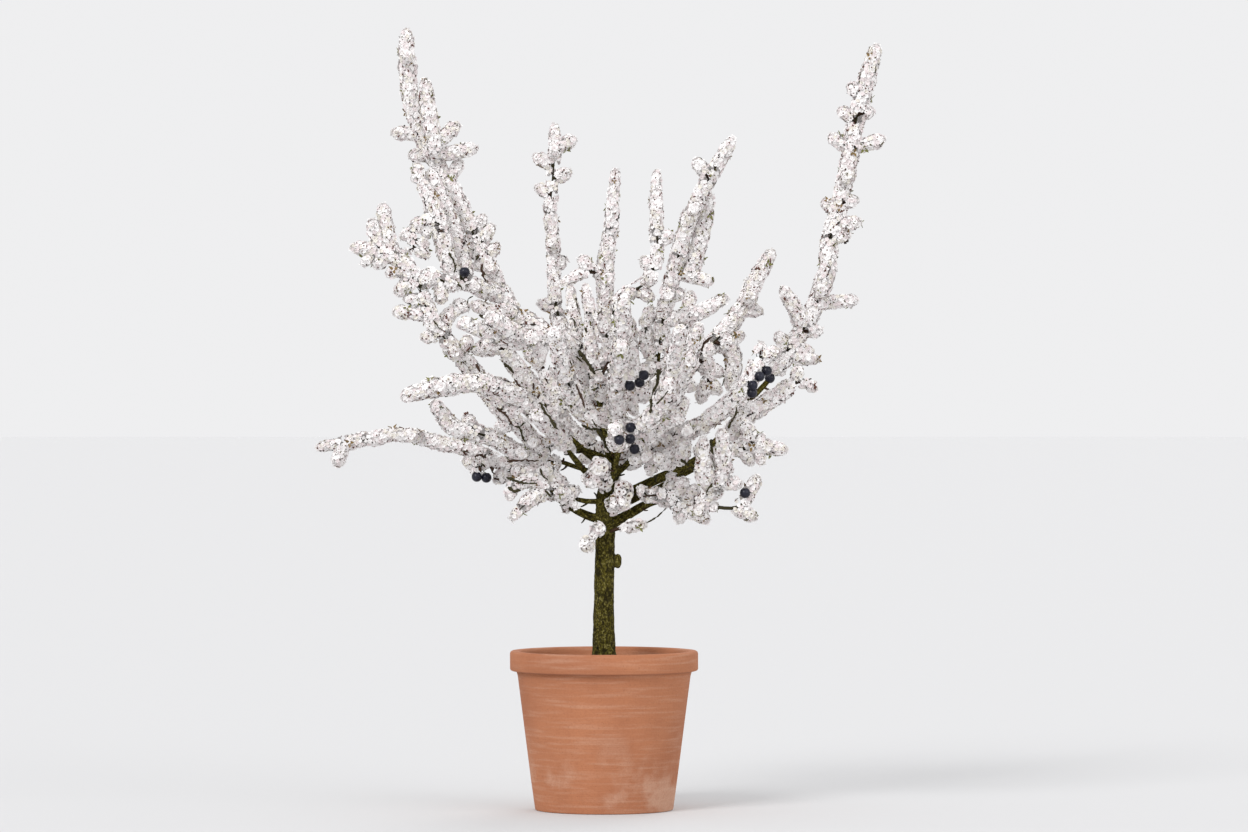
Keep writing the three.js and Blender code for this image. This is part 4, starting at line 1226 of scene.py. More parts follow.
class CHERRY_OT_wood(bpy.types.Operator):
    """Trunk and boughs as one skin of bark with ridges, bands and a burr"""

    bl_idname = "cherry.wood"
    bl_label = "Trunk and boughs"

    def execute(self, context):
        settings = context.scene.cherry
        heap = Heap()
        lines = limb_lines()
        for places, _, normals, binormals, radii in lines:
            heap.add(*tube(places, normals, binormals, radii, LIMB_SIDES))
        clear_selection()
        bpy.ops.mesh.primitive_ico_sphere_add(subdivisions=3, radius=1)
        burr, faces = take_shape(bpy.context.object)
        heap.add(burr * MM * BURR_SIZE + BURR_PLACE, faces)
        wood = heap.make("bark", [])
        clear_selection()
        wood.select_set(True)
        context.view_layer.objects.active = wood
        wood.data.remesh_voxel_size = settings.bark_voxel
        bpy.ops.object.voxel_remesh()
        use_modifier(wood, "SMOOTH", factor=0.5, iterations=4)
        self.dress(wood, lines)
        material = bark_material("Bark", settings.bark_olive, settings.bark_dark, settings.bark_pale)
        wood.data.materials.append(material)
        bpy.ops.object.select_all(action="DESELECT")
        wood.data.polygons.foreach_set("use_smooth", np.ones(len(wood.data.polygons), bool))
        finish_piece(wood, "bark", "trunk", *("bough_" + name for name in LIMBS))
        return {"FINISHED"}

    def dress(self, wood, lines):
        """Gives each vertex its place along and round its limb, and raises the bark's relief by it."""
        axis = np.vstack([line[0] for line in lines])
        fields = [np.vstack([line[i] for line in lines]) for i in (1, 2, 3)]
        along = np.concatenate([
            LIMB_STEP * np.arange(len(line[0])) + LIMBS_APART * i for i, line in enumerate(lines)
        ])
        tree = KDTree(len(axis))
        for index, place in enumerate(axis):
            tree.insert(place, index)
        tree.balance()
        mesh = wood.data
        count = len(mesh.vertices)
        points = np.empty(count * 3, np.float32)
        mesh.vertices.foreach_get("co", points)
        points = points.reshape(-1, 3) / MM - [0, 0, RIM]
        normals = np.empty(count * 3, np.float32)
        mesh.vertices.foreach_get("normal", normals)
        normals = normals.reshape(-1, 3)
        nearest = np.array([tree.find(point)[1] for point in points])
        offset = points - axis[nearest]
        lengths = along[nearest] + np.sum(offset * fields[0][nearest], axis=1)
        first = np.sum(offset * fields[1][nearest], axis=1)
        second = np.sum(offset * fields[2][nearest], axis=1)
        grain = np.stack([first, second, lengths], axis=1)
        radius = np.hypot(first, second)
        rise = np.array([
            sum(
                height * noise.noise(Vector((a / across, b / across, c / lengthwise + shift)))
                for height, across, lengthwise, shift in BARK_WAVES
            )
            for a, b, c in grain
        ])
        share = np.clip(radius / RELIEF_RADIUS, RELIEF_LEAST, 1)
        moved = points + normals * (rise * share)[:, None]
        mesh.vertices.foreach_set("co", to_metres(moved).astype(np.float32).ravel())
        field = mesh.attributes.new("grain", "FLOAT_VECTOR", "POINT")
        field.data.foreach_set("vector", (grain * MM).astype(np.float32).ravel())
        mesh.update()


def twig_radius(shoot, along):
    """A shoot's twig: from the bough's end to a fine tip."""
    bare = max(shoot.bare, FOOT_LEAST)
    start = shoot.foot_radius
    return np.interp(along, [0, bare, shoot.length], [start, min(start, TWIG_RADIUS), TWIG_TIP_RADIUS])


class CHERRY_OT_twigs(bpy.types.Operator):
    """The twigs that go on from the boughs through the blossom, with side twigs"""

    bl_idname = "cherry.twigs"
    bl_label = "Twigs"

    def execute(self, context):
        draw = random.Random(11)
        heap = Heap()
        for shoot in PLANT.shoots:
            shares = np.linspace(shoot.cap / shoot.length, 1, max(4, int(shoot.length / TWIG_STEP)))
            places, _, normals, binormals = shoot.route.frames(shares)
            radii = twig_radius(shoot, shares * shoot.length)
            from_bough = shoot.foot_radius > TWIG_RADIUS
            if from_bough:
                radii = np.where(shares * shoot.length < LIMB_REACH - TWIG_STEP, TWIG_IN_BARK * radii, radii)
            keep = len(shares) - 1 if shoot.spur else len(shares)
            points, faces = tube(places[:keep], normals[:keep], binormals[:keep], radii[:keep], TWIG_SIDES)
            heap.add(points, faces, 0 if from_bough else draw.randint(0, 1))
            self.side_twigs(heap, shoot, draw)
        self.stubs(heap, draw)
        noise.seed_set(NOISE_SEED)
        for twig in PLANT.bare_twigs():
            self.bare_twig(heap, *twig)
        materials = [plain("Olive twig", OLIVE_TWIG, 0.7), plain("Brown twig", BROWN_TWIG, 0.7)]
        finish_piece(heap.make("twigs", materials), "bough_bark")
        return {"FINISHED"}

    def side_twigs(self, heap, shoot, draw):
        """Fine twigs round a shoot, which end just under its blossom."""
        along = shoot.bare + SWELL_LENGTH
        turn = draw.uniform(0, 2 * math.pi)
        while along < shoot.length - SIDE_TWIG_STEP:
            place, tangent, outward = shoot.route.round_at(along, turn)
            reach = float(shoot.radius(along)) * draw.uniform(0.8, 0.98)
            middle = place + outward * reach * 0.5 + tangent * reach * 0.25
            end = place + outward * reach + tangent * reach * 0.8
            heap.line(Route([place, middle, end]), SIDE_TWIG_RADII, 3, draw.randint(0, 1))
            turn += GOLDEN_ANGLE
            along += SIDE_TWIG_STEP * draw.uniform(*STEP_SPREAD)

    def stubs(self, heap, draw):
        """Short stubs and spurs on the bare limbs."""
        for places, tangents, normals, binormals, radii in limb_lines()[1:]:
            step = int(draw.uniform(2, 6))
            turn = draw.uniform(0, 2 * math.pi)
            while step < len(places):
                outward = normals[step] * math.cos(turn) + binormals[step] * math.sin(turn)
                length = draw.uniform(3, 13)
                lean = tangents[step] * draw.uniform(0.2, 1.1)
                start = places[step] + outward * 0.6 * radii[step]
                middle = places[step] + outward * (radii[step] + 0.5 * length) + 0.3 * length * lean
                end = places[step] + outward * (radii[step] + length) + length * lean
                thick = draw.uniform(1.6, 2.8) * np.array(STUB_TAPER)
                heap.line(Route([start, middle, end]), thick, 5, draw.randint(0, 1))
                turn += GOLDEN_ANGLE
                step += int(STUB_STEP / LIMB_STEP * draw.uniform(0.5, 1.5))

    def bare_twig(self, heap, half, tint, points):
        """A knotty twig through its points, thinner towards its end."""
        route = Route(points)
        shares = np.linspace(0, 1, max(4, int(route.length / BARE_TWIG_STEP)))
        places, _, normals, binormals = route.frames(shares)
        rough = np.array([noise.noise_vector(Vector(place) / BARE_TWIG_WAVE) for place in places])
        places = places + BARE_TWIG_BENDS * half * rough * [1, 0, 1]
        radii = half * (1 - BARE_TWIG_TAPER * shares) * (1 + BARE_TWIG_BENDS * rough[:, 1])
        radii[[0, -1]] *= 0.6
        heap.add(*tube(places, normals, binormals, radii, TWIG_SIDES), tint)


def petal_shape(length, corners):
    """One petal with a narrow foot, a broad end and raised sides, along the second axis."""
    clear_selection()
    half = 0.5 * length
    bpy.ops.mesh.primitive_circle_add(
        vertices=corners, radius=half, fill_type="NGON", rotation=(0, 0, math.pi * (corners % 2))
    )
    petal = bpy.context.object
    bpy.ops.object.transform_apply(rotation=True)
    edit_piece()
    pick(lambda place: abs(place.x) > 0.8 * half)
    bpy.ops.transform.translate(value=(0, 0.2 * half, 0.2 * half))
    pick(lambda place: place.y > 0.95 * half)
    bpy.ops.transform.translate(value=(0, -0.2 * half, 0))
    bpy.ops.mesh.select_all(action="SELECT")
    bpy.ops.transform.translate(value=(0, half, 0))
    return take_shape(close_piece(petal))


def spot_shape(radius, height):
    """The raised dark middle of a flower: a low pyramid."""
    clear_selection()
    bpy.ops.mesh.primitive_circle_add(vertices=4, radius=radius, fill_type="TRIFAN")
    spot = bpy.context.object
    edit_piece()
    pick(lambda place: place.length < 0.1 * radius)
    bpy.ops.transform.translate(value=(0, 0, height))
    return take_shape(close_piece(spot))


def bud_shape(radius, length):
    """A closed bud or an empty calyx: a spindle of four sides."""
    clear_selection()
    bpy.ops.mesh.primitive_cone_add(
        vertices=4, radius1=radius, depth=0.55 * length, location=(0, 0, 0.72 * length)
    )
    bud = bpy.context.object
    edit_piece()
    pick(lambda place: place.z < -0.2 * length, "faces")
    bpy.ops.mesh.poke()
    pick(lambda place: place.z < -0.2 * length and math.hypot(place.x, place.y) < 0.1 * radius)
    bpy.ops.transform.translate(value=(0, 0, -0.45 * length))
    return take_shape(close_piece(bud))


def gather(parts):
    """One shape of turned copies: each part is a shape, a turn, a lean and a shift outward."""
    points, faces, count = [], [], 0
    for (part, part_faces), turn, lean, rise in parts:
        lean_it = np.array([
            [1, 0, 0],
            [0, math.cos(lean), -math.sin(lean)],
            [0, math.sin(lean), math.cos(lean)],
        ])
        turn_it = np.array([
            [math.cos(turn), -math.sin(turn), 0],
            [math.sin(turn), math.cos(turn), 0],
            [0, 0, 1],
        ])
        points.append(part @ lean_it.T @ turn_it.T + [0, 0, rise])
        faces.append(part_faces + count)
        count += len(part)
    return np.vstack(points), np.vstack(faces)


def flower_shapes(length, corners):
    """Open, double, half-open and deep-lying flowers."""
    petal = petal_shape(length, corners)
    small = petal_shape(0.62 * length, 4)
    plainer = petal_shape(2 * length, 4)
    fifth, third = 2 * math.pi / 5, 2 * math.pi / 3
    opened = [(petal, i * fifth, 0.2 + 0.1 * (i % 2), 0.0) for i in range(5)]
    inner = [(small, 0.4 + i * third, 0.75, 0.4) for i in range(3)]
    half = [(petal, i * fifth, 0.7 + 0.12 * (i % 2), 0.0) for i in range(5)]
    deep = [(plainer, i * third, 0.1 + 0.1 * (i % 2), 0.0) for i in range(3)]
    return [gather(opened), gather(opened + inner), gather(half), gather(deep)]


def clump_shape():
    """A lump of empty calyces and buds, each leaning its own way."""
    bud = bud_shape(*CLUMP_BUD)
    turns = GOLDEN_ANGLE * np.arange(4)
    points, faces = gather([(bud, turn, 0.3 + 0.25 * (i % 3), 0.0) for i, turn in enumerate(turns)])
    apart = 2.4 * np.stack([np.cos(turns), np.sin(turns), 0 * turns], axis=1)
    return points + np.repeat(apart, len(points) // len(turns), axis=0), faces


def crown_points():
    """What small things keep clear of: rows of a place, the radius round it and its shoot's number or -1."""
    rows = []

    def note(places, radii, owner=-1):
        count = len(places)
        rows.append(np.column_stack([places, np.broadcast_to(radii, count), np.full(count, owner)]))

    for index, shoot in enumerate(PLANT.shoots):
        along = np.arange(0, shoot.length, AXIS_STEP)
        note(shoot.route.at(along / shoot.length), INSIDE_SHARE * shoot.radius(along), index)
    for places, _, _, _, radii in limb_lines():
        note(places, radii + LIMB_CLEARANCE)
    for half, _, points in PLANT.bare_twigs():
        route = Route(points)
        places = route.at(np.linspace(0, 1, max(3, int(route.length / 3))))
        note(np.vstack([places, places - [0, 4, 0]]), half + TWIG_CLEARANCE)
    for _, centre in PLANT.berries():
        note(centre + np.arange(4)[:, None] * [[0, -BERRY_RADIUS, 0]], BERRY_CLEARANCE)
    return np.vstack(rows)


def on_sleeve(shoot, at, turns, sunk=0.0):
    """Places on a shoot's sleeve at lengths and turns round it, the direction outward, and how far out they
    lie on the round heads that the sleeve is made of, from 0 in a crease to 1."""
    step = 1.0
    slope = (shoot.radius(at + step) - shoot.radius(at - step)) / (2 * step)
    places, tangents, normals, binormals = shoot.route.frames(at / shoot.length)
    outward = normals * np.cos(turns)[:, None] + binormals * np.sin(turns)[:, None]
    facing = unit(outward - tangents * np.clip(slope, -4, 4 if shoot.cap else 0.6)[:, None])
    reach = np.maximum(shoot.radius(at) - SLEEVE_INSET, 0.5)
    rough = places + outward * reach[:, None]
    crease = np.array([noise.voronoi(Vector(place) / HEAD_CELL)[0][0] for place in rough])
    height = 1 - np.clip(crease / HEAD_EDGE, 0, 1) ** 2
    reach = reach * (1 + HEAD_DEPTH * (height - HEAD_LEVEL)) - sunk
    return places + outward * reach[:, None], facing, height


def sleeve_spread(shoot, area, draw, jitter=0.25):
    """Lengths and turns that are evenly spread over a shoot's sleeve, on a golden spiral."""
    along = np.linspace(shoot.bare, shoot.length, SLEEVE_STEPS)
    radius = shoot.radius(along)
    ring = 2 * math.pi * radius * np.sqrt(1 + np.gradient(radius, along) ** 2)
    reached = np.concatenate([[0], np.cumsum(0.5 * (ring[1:] + ring[:-1]) * np.diff(along))])
    count = int(reached[-1] / area + draw.uniform())
    at = np.interp((np.arange(count) + draw.uniform()) / max(count, 1) * reached[-1], reached, along)
    turns = draw.uniform(0, 2 * math.pi) + GOLDEN_ANGLE * np.arange(count) + draw.normal(0, jitter, count)
    return at, turns


def clear_places(index, places, crowd):
    """Which places lie outside every other shoot and every limb."""
    axis, radii, owners = crowd[:, :3], crowd[:, 3], crowd[:, 4]
    low, high = places.min(0) - CROWD_REACH, places.max(0) + CROWD_REACH
    near = (owners != index) & np.all((axis > low) & (axis < high), axis=1)
    if not near.any():
        return np.ones(len(places), bool)
    away = np.linalg.norm(places[:, None] - axis[near][None], axis=2)
    return np.all(away > radii[near][None], axis=1)


def free_spread(index, shoot, area, crowd, draw, sunk=0.0, jitter=0.25):
    """Places spread over a shoot's sleeve wherever nothing else covers them, the directions outward and the
    heights, or None on a shoot that is too small for the area."""
    at, turns = sleeve_spread(shoot, area, draw, jitter)
    if not len(at):
        return None
    found = on_sleeve(shoot, at, turns, sunk)
    free = clear_places(index, found[0], crowd)
    return [values[free] for values in found]


class CHERRY_OT_blossom(bpy.types.Operator):
    """Flowers in a dense sleeve of round heads along every shoot"""

    bl_idname = "cherry.blossom"
    bl_label = "Blossom"

    def execute(self, context):
        settings = context.scene.cherry
        far, near = (
            flower_shapes(settings.petal_length, corners) for corners in (PETAL_CORNERS, NEAR_PETAL_CORNERS)
        )
        spot = spot_shape(*FLOWER_EYE)
        crowd = crown_points()
        glow = {"Emission_Color": colour(settings.petal_white), "Emission_Strength": PETAL_GLOW}
        materials = [
            plain("White petal", settings.petal_white, **glow),
            plain("Cool petal", settings.petal_cool, **glow),
            plain("Cream petal", settings.petal_cream, **glow),
            plain("Flower eye", settings.calyx_brown),
            plain("Green eye", settings.eye_green),
        ]
        draw = np.random.default_rng(23)
        for group, names in BLOSSOM_GROUPS.items():
            heap = Heap()
            for index, shoot in enumerate(PLANT.shoots):
                if shoot.mass in names:
                    large = shoot.mass.endswith("tuft")
                    shapes = near if large else far
                    self.cover(heap, index, shoot, large, shapes, spot, crowd, draw, settings.flower_area)
            finish_piece(heap.make(group, materials), "blossom", *("blossom_" + name for name in names))
        return {"FINISHED"}

    def cover(self, heap, index, shoot, large, shapes, spot, crowd, draw, area):
        """Flowers over one shoot: double ones on the round heads; painted shade puts more of the darker cool
        and cream ones in the creases.

        The tufts at the fork have large flowers, each with its spot.
        """
        grown = LARGE_FLOWER if large else 1.0
        found = free_spread(index, shoot, 100 * area * grown**LARGE_AREA_POWER, crowd, draw)
        if found is None:
            return
        places, facing, height = found
        count = len(places)
        tilted = unit(facing + draw.normal(0, FLOWER_TILT, (count, 3)))
        sizes = grown * draw.uniform(*FLOWER_SIZES, count)
        bases = bases_round(tilted, draw.uniform(0, 2 * math.pi, count), sizes)
        half_open = draw.uniform(size=count) < HALF_OPEN_SHARE
        kinds = np.where(half_open, 2, (draw.uniform(size=count) < DOUBLE_SHARE * height).astype(int))
        # Painted shade: the deeper into a crease, the more petals are the darker cool and cream ones
        tints_and_crease_shade = np.digitize(draw.uniform(size=count) + CREASE_SHADE * (1 - height), TINT_LIMITS)
        for kind, shape in enumerate(shapes[:3]):
            for tint in range(3):
                these = (kinds == kind) & (tints_and_crease_shade == tint)
                heap.stamp(shape, places[these], bases[these], tint)
        self.deep(heap, index, shoot, shapes[3], crowd, draw)
        spotted = draw.uniform(size=count) < (1.0 if large else SPOT_SHARE)
        greens = draw.uniform(size=count) < GREEN_SHARE
        swollen = bases * draw.uniform(*SPOT_SIZES, count)[:, None, None]
        raised = places + tilted * 0.6
        for slot, these in ((3, spotted & ~greens), (4, spotted & greens)):
            heap.stamp(spot, raised[these], swollen[these], slot)

    def deep(self, heap, index, shoot, shape, crowd, draw):
        """Plainer flowers under the others, so that no hollow shows between them."""
        found = free_spread(index, shoot, DEEP_AREA, crowd, draw, DEEP_LAYER)
        if found is not None:
            places, facing, _ = found
            count = len(places)
            heap.stamp(shape, places, bases_round(facing, draw.uniform(0, FULL_TURN, count), np.ones(count)))


class CHERRY_OT_calyces(bpy.types.Operator):
    """Brown clumps of empty calyces, and thin bowed twigs, that lie among the flowers"""

    bl_idname = "cherry.calyces"
    bl_label = "Calyces and fine twigs"

    def execute(self, context):
        settings = context.scene.cherry
        shapes = {"clump": clump_shape(), "bud": bud_shape(*BUD), "dot": spot_shape(*DOT)}
        crowd = crown_points()
        draw = np.random.default_rng(37)
        heap = Heap()
        for index, shoot in enumerate(PLANT.shoots):
            for kind, area, sunk, sizes in SCATTERED:
                self.scatter(heap, index, shoot, shapes[kind], area, sunk, sizes, crowd, draw)
            self.rods(heap, index, shoot, crowd, draw)
        materials = [
            plain("Calyx", settings.calyx_brown, 0.65),
            plain("Dark calyx", DARK_CALYX, 0.65),
            plain("Green calyx", settings.eye_green),
        ]
        finish_piece(heap.make("calyces", materials), "bough_bark")
        return {"FINISHED"}

    def scatter(self, heap, index, shoot, shape, area, sunk, sizes, crowd, draw):
        """Copies of a shape over one shoot, brown, dark or green."""
        found = free_spread(index, shoot, area, crowd, draw, sunk, 0.6)
        if found is None:
            return
        places, facing, _ = found
        count = len(places)
        leaning = unit(facing + draw.normal(0, 0.35, (count, 3)))
        bases = bases_round(leaning, draw.uniform(0, FULL_TURN, count), draw.uniform(*sizes, count))
        heap.stamp(shape, places, bases, draw.choice(3, count, p=(0.62, 0.2, 0.18)))

    def rods(self, heap, index, shoot, crowd, draw):
        """Bowed twigs on the sleeve, their ends sunk among the flowers."""
        steps = np.linspace(0, 1, 5)
        bow = 4 * (2 * steps - 1) ** 2
        for begin, turn in zip(*sleeve_spread(shoot, ROD_AREA, draw, 0.5)):
            length = draw.uniform(9, 30)
            lean = draw.normal(0, 0.8)
            lengths = np.clip(begin + length * math.cos(lean) * steps, 0, shoot.length - 2)
            spin = turn + length * math.sin(lean) * steps / (0.5 * shoot.sleeve)
            places, _, _ = on_sleeve(shoot, lengths, spin, -2)
            centre = shoot.route.at(lengths / shoot.length)
            places -= unit(places - centre) * bow[:, None]
            if not clear_places(index, places, crowd).all():
                continue
            if np.linalg.norm(places[-1] - places[0]) < 5:
                continue
            _, _, normals, binormals = Route(places).frames(steps)
            radii = draw.uniform(0.7, 1.9) * np.array([1.2, 1, 1, 0.8, 0.5])
            points, faces = tube(places, normals, binormals, radii, 4)
            heap.add(points, faces, int(draw.choice(3, p=(0.5, 0.35, 0.15))))


def leaf_shape(length):
    """A young leaf: a lens folded along its middle and curled back at the tip."""
    clear_selection()
    bpy.ops.mesh.primitive_grid_add(x_subdivisions=2, y_subdivisions=4, size=length)
    leaf = bpy.context.object
    edit_piece()
    for up, width in ((-0.5, 0.08), (-0.25, 0.36), (0, 0.46), (0.25, 0.3), (0.5, 0.04)):
        pick(lambda place: abs(place.y - up * length) < 0.05 * length)
        bpy.ops.transform.resize(value=(width, 1, 1), center_override=(0, 0, 0))
    pick(lambda place: abs(place.x) < 0.01 * length)
    bpy.ops.transform.translate(value=(0, 0, -0.09 * length))
    pick(lambda place: place.y > 0.2 * length)
    bpy.ops.transform.translate(value=(0, 0, -0.08 * length))
    bpy.ops.mesh.select_all(action="SELECT")
    bpy.ops.transform.translate(value=(0, 0.5 * length, 0))
    return take_shape(close_piece(leaf))


class CHERRY_OT_leaves(bpy.types.Operator):
    """Tufts of young leaves that peep out of the blossom"""

    bl_idname = "cherry.leaves"
    bl_label = "Young leaves"

    def execute(self, context):
        settings = context.scene.cherry
        leaf = leaf_shape(LEAF_LENGTH)
        tuft = gather([(leaf, i * GOLDEN_ANGLE, 0.55 + 0.25 * (i % 2), 0.0) for i in range(3)])
        crowd = crown_points()
        draw = np.random.default_rng(41)
        heap = Heap()
        for index, shoot in enumerate(PLANT.shoots):
            found = free_spread(index, shoot, LEAF_AREA, crowd, draw, -0.5, 0.5)
            if found is None:
                continue
            places, facing, _ = found
            count = len(places)
            bases = bases_round(facing, draw.uniform(0, FULL_TURN, count), draw.uniform(0.5, 1.0, count))
            heap.stamp(tuft, places, bases, draw.integers(0, 2, count))
        green = plain("Leaf", settings.leaf_green, 0.5)
        bronze = plain("Bronze leaf", BRONZE_LEAF, 0.5)
        finish_piece(heap.make("young_leaves", [green, bronze]), "blossom")
        return {"FINISHED"}


def fruit_shape(radius):
    """A round fruit with a hollow at the stalk and a small scar below."""
    clear_selection()
    bpy.ops.mesh.primitive_uv_sphere_add(segments=20, ring_count=14, radius=radius)
    fruit = bpy.context.object
    edit_piece()
    pick(lambda place: place.z > 0.95 * radius)
    bpy.ops.transform.translate(value=(0, 0, -0.16 * radius))
    pick(lambda place: place.z < -0.99 * radius)
    bpy.ops.transform.translate(value=(0, 0, 0.06 * radius))
    return take_shape(close_piece(fruit))


class CHERRY_OT_fruit(bpy.types.Operator):
    """Ripe fruits on short stalks"""

    bl_idname = "cherry.fruit"
    bl_label = "Fruit"

    def execute(self, context):
        settings = context.scene.cherry
        fruit = fruit_shape(BERRY_RADIUS * MM)
        heap = Heap()
        for start, place in PLANT.berries():
            route = Route([start, 0.5 * (start + place) + [0, 0, 4], place + [0, 0, 0.8 * BERRY_RADIUS]])
            heap.line(route, STALK_RADII, 5, 1)
            heap.stamp(fruit, place[None], np.eye(3)[None])
        skin = fruit_material("Ripe fruit", settings.fruit_blue, FRUIT_BLOOM)
        stalk = plain("Fruit stalk", FRUIT_STALK, 0.5)
        finish_piece(heap.make("fruit", [skin, stalk]), "blossom")
        return {"FINISHED"}


def turned(name, outline, sides):
    """A piece turned on the upright axis: a disc drawn out through an outline of radii and heights."""
    clear_selection()
    radius, height = outline[0]
    bpy.ops.mesh.primitive_circle_add(vertices=sides, radius=radius * MM, fill_type="TRIFAN")
    piece = bpy.context.object
    piece.name = name
    edit_piece()
    bpy.ops.mesh.select_all(action="SELECT")
    bpy.ops.transform.translate(value=(0, 0, height * MM))
    pick(lambda place: math.hypot(place.x, place.y) > 0.5 * radius * MM)
    bpy.ops.mesh.select_mode(type="EDGE")
    for next_radius, next_height in outline[1:]:
        rise = (next_height - height) * MM
        grow = next_radius / radius
        bpy.ops.mesh.extrude_edges_move(TRANSFORM_OT_translate={"value": (0, 0, rise)})
        bpy.ops.transform.resize(value=(grow, grow, 1), center_override=(0, 0, 0))
        radius, height = next_radius, next_height
    bpy.ops.mesh.edge_face_add()
    bpy.ops.mesh.poke()
    bpy.ops.mesh.select_all(action="SELECT")
    bpy.ops.mesh.normals_make_consistent(inside=False)
    return close_piece(piece)


def wall_radius(height):
    """The pot's outer radius at a height from the floor, below its rim."""
    return POT_FOOT_RADIUS + (WALL_TOP_RADIUS - POT_FOOT_RADIUS) * height / RIM


def inner_radius(height):
    """The pot's inner radius at a height from the floor."""
    share = (height - POT_FLOOR) / (RIM - POT_FLOOR)
    return POT_FOOT_RADIUS + (WALL_TOP_RADIUS - POT_FOOT_RADIUS) * share - POT_WALL


class CHERRY_OT_pot(bpy.types.Operator):
    """A plain terracotta pot with a rim, rounded edges and drain holes"""

    bl_idname = "cherry.pot"
    bl_label = "Pot"

    def execute(self, context):
        settings = context.scene.cherry
        under = RIM - RIM_HEIGHT
        outline = [(POT_FOOT_RADIUS - inward, height) for inward, height in FOOT_CORNERS]
        outline += [(wall_radius(share * under), share * under) for share in WALL_SHARES]
        outline.append((wall_radius(under) + RIM_FILLET, under))
        outline += [(POT_RADIUS - inward, RIM - below) for inward, below in RIM_CORNERS]
        outline += [(inner_radius(RIM) + outward, RIM - below) for outward, below in LIP_CORNERS]
        outline += [(inner_radius(height), height) for height in (RIM - 7, RIM - 40, 150, POT_FLOOR)]
        pot = turned("clay_pot", outline, settings.pot_sides)
        for i in range(DRAIN_HOLES):
            angle = 2 * math.pi * i / DRAIN_HOLES
            place = (DRAIN_HOLE_RING * MM * math.cos(angle), DRAIN_HOLE_RING * MM * math.sin(angle), 0)
            clear_selection()
            bpy.ops.mesh.primitive_cylinder_add(
                vertices=24, radius=DRAIN_HOLE_RADIUS * MM, depth=3 * POT_FLOOR * MM, location=place
            )
            drill = context.object
            use_modifier(pot, "BOOLEAN", operation="DIFFERENCE", object=drill, solver="EXACT")
            bpy.data.objects.remove(drill)
        self.unevenly(pot)
        pot.data.materials.append(clay_material("Clay", settings.clay_red, PALE_CLAY, DAMP_CLAY))
        smooth_piece(pot, 40)
        finish_piece(pot, "terracotta", "pot")
        return {"FINISHED"}

    def unevenly(self, pot):
        """The slight unevenness of clay turned by hand."""
        for vertex in pot.data.vertices:
            place = vertex.co
            out = Vector((place.x, place.y, 0))
            if out.length < 0.12 or place.z < 0.002:
                continue
            wave = 0.0006 * noise.noise(Vector((place.x, place.y, 3 * place.z)) * 6)
            vertex.co = place + out.normalized() * (wave - 0.0006)


def smooth_piece(piece, degrees):
    """Smooth shading, with the edges that are sharper than an angle left crisp."""
    clear_selection()
    piece.select_set(True)
    bpy.context.view_layer.objects.active = piece
    bpy.ops.object.shade_smooth_by_angle(angle=math.radians(degrees))
    bpy.ops.object.select_all(action="DESELECT")


class CHERRY_OT_soil(bpy.types.Operator):
    """Crumbly soil heaped a little round the stem, with loose crumbs"""

    bl_idname = "cherry.soil"
    bl_label = "Soil"

    def execute(self, context):
        settings = context.scene.cherry
        clear_selection()
        bottom = POT_FLOOR + 1
        edge = inner_radius(SOIL_TOP - SOIL_FALL)
        outline = [(inner_radius(bottom) - 1, bottom), (edge + 1, SOIL_TOP - SOIL_FALL - 2)]
        for i in range(1, SOIL_RINGS):
            share = 1 - i / SOIL_RINGS
            outline.append((edge * share, SOIL_TOP - SOIL_FALL * share**2))
        soil = turned("soil_fill", outline, SOIL_SIDES)
        for vertex in soil.data.vertices:
            place = vertex.co
            if place.z < (SOIL_TOP - SOIL_FALL - 1) * MM:
                continue
            point = place / MM
            lumps = sum(height * noise.noise(point / length) for height, length in SOIL_WAVES)
            vertex.co.z += lumps * MM
        pale = tuple(2.1 * part for part in settings.soil_brown)
        material = earth_material("Earth", settings.soil_brown, pale)
        soil.data.materials.append(material)
        soil.data.polygons.foreach_set("use_smooth", np.ones(len(soil.data.polygons), bool))
        finish_piece(soil, "soil", "soil")
        self.crumbs(material)
        return {"FINISHED"}

    def crumbs(self, material):
        """Loose crumbs on the soil."""
        clear_selection()
        bpy.ops.mesh.primitive_ico_sphere_add(subdivisions=1, radius=CRUMB_RADIUS)
        crumb = bpy.context.object
        edit_piece()
        pick(lambda place: place.x > 0.0005)
        bpy.ops.transform.resize(value=(0.7, 1.25, 0.8), center_override=(0, 0, 0))
        shape = take_shape(close_piece(crumb))
        draw = np.random.default_rng(7)
        radius = (inner_radius(SOIL_TOP) - 5) * np.sqrt(draw.uniform(0.02, 1, CRUMBS))
        angle = draw.uniform(0, 2 * math.pi, CRUMBS)
        up = SOIL_LEVEL - SOIL_FALL * (radius / inner_radius(SOIL_TOP)) ** 2 + 0.6
        places = np.stack([radius * np.cos(angle), radius * np.sin(angle), up], axis=1)
        facing = unit(draw.normal(0, 1, (CRUMBS, 3)))
        bases = bases_round(facing, draw.uniform(0, 6, CRUMBS), draw.uniform(0.5, 1.7, CRUMBS))
        heap = Heap()
        heap.stamp(shape, places, bases)
        finish_piece(heap.make("soil_crumbs", [material]), "soil")


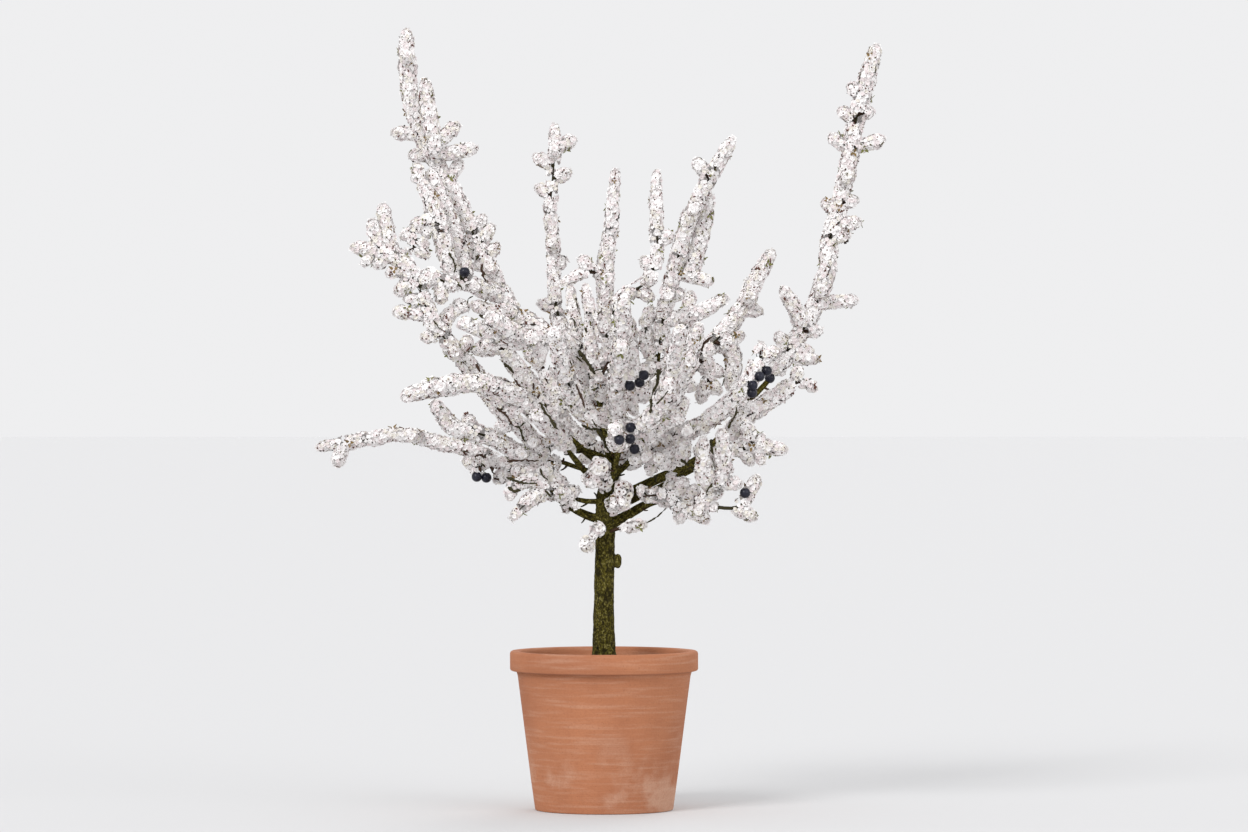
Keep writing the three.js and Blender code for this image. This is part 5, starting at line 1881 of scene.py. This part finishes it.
class CHERRY_OT_stage(bpy.types.Operator):
    """A pale floor, soft light and the camera at the photo's height"""

    bl_idname = "cherry.stage"
    bl_label = "Stage"

    def execute(self, context):
        settings = context.scene.cherry
        scene = context.scene
        clear_selection()
        bpy.ops.mesh.primitive_plane_add(size=FLOOR_SIZE)
        floor = context.object
        floor.name = "floor"
        floor.data.materials.append(plain("Floor", settings.floor_pale, 0.95))
        world = bpy.data.worlds.new("Studio")
        scene.world = world
        world.use_nodes = True
        background = world.node_tree.nodes["Background"]
        background.inputs["Color"].default_value = colour(SKY_COLOUR)
        background.inputs["Strength"].default_value = SKY_STRENGTH
        for name, place, softness, strength in SUNS:
            clear_selection()
            bpy.ops.object.light_add(type="SUN", location=place)
            light = context.object
            light.name = name
            light.data.angle = softness
            light.data.energy = strength
            aim = Vector(SUN_AIM) - Vector(place)
            light.rotation_euler = aim.to_track_quat("-Z", "Y").to_euler()
        clear_selection()
        bpy.ops.object.camera_add(location=CAMERA_PLACE, rotation=(math.pi / 2, 0, 0))
        camera = context.object
        camera.data.lens = CAMERA_LENS
        camera.data.clip_end = CAMERA_REACH
        camera.data.shift_y = CAMERA_SHIFT
        scene.camera = camera
        scene.view_settings.view_transform = "Standard"
        return {"FINISHED"}


OPERATORS = (
    CHERRY_OT_wood,
    CHERRY_OT_twigs,
    CHERRY_OT_blossom,
    CHERRY_OT_calyces,
    CHERRY_OT_leaves,
    CHERRY_OT_fruit,
    CHERRY_OT_pot,
    CHERRY_OT_soil,
    CHERRY_OT_stage,
)


class CHERRY_PT_panel(bpy.types.Panel):
    """The shrub's pieces in the order they are made"""

    bl_label = "Potted cherry"
    bl_idname = "CHERRY_PT_panel"
    bl_space_type = "VIEW_3D"
    bl_region_type = "UI"
    bl_category = "Cherry"

    def draw(self, context):
        for name in CherrySettings.__annotations__:
            self.layout.prop(context.scene.cherry, name)
        for operator in OPERATORS:
            self.layout.operator(operator.bl_idname)


def register():
    for part in (CherrySettings, *OPERATORS, CHERRY_PT_panel):
        bpy.utils.register_class(part)
    bpy.types.Scene.cherry = PointerProperty(type=CherrySettings)


def unregister():
    del bpy.types.Scene.cherry
    for part in (CHERRY_PT_panel, *reversed(OPERATORS), CherrySettings):
        bpy.utils.unregister_class(part)


def main():
    register()
    bpy.ops.cherry.wood()
    bpy.ops.cherry.twigs()
    bpy.ops.cherry.blossom()
    bpy.ops.cherry.calyces()
    bpy.ops.cherry.leaves()
    bpy.ops.cherry.fruit()
    bpy.ops.cherry.pot()
    bpy.ops.cherry.soil()
    bpy.ops.cherry.stage()


if __name__ == "__main__":
    main()
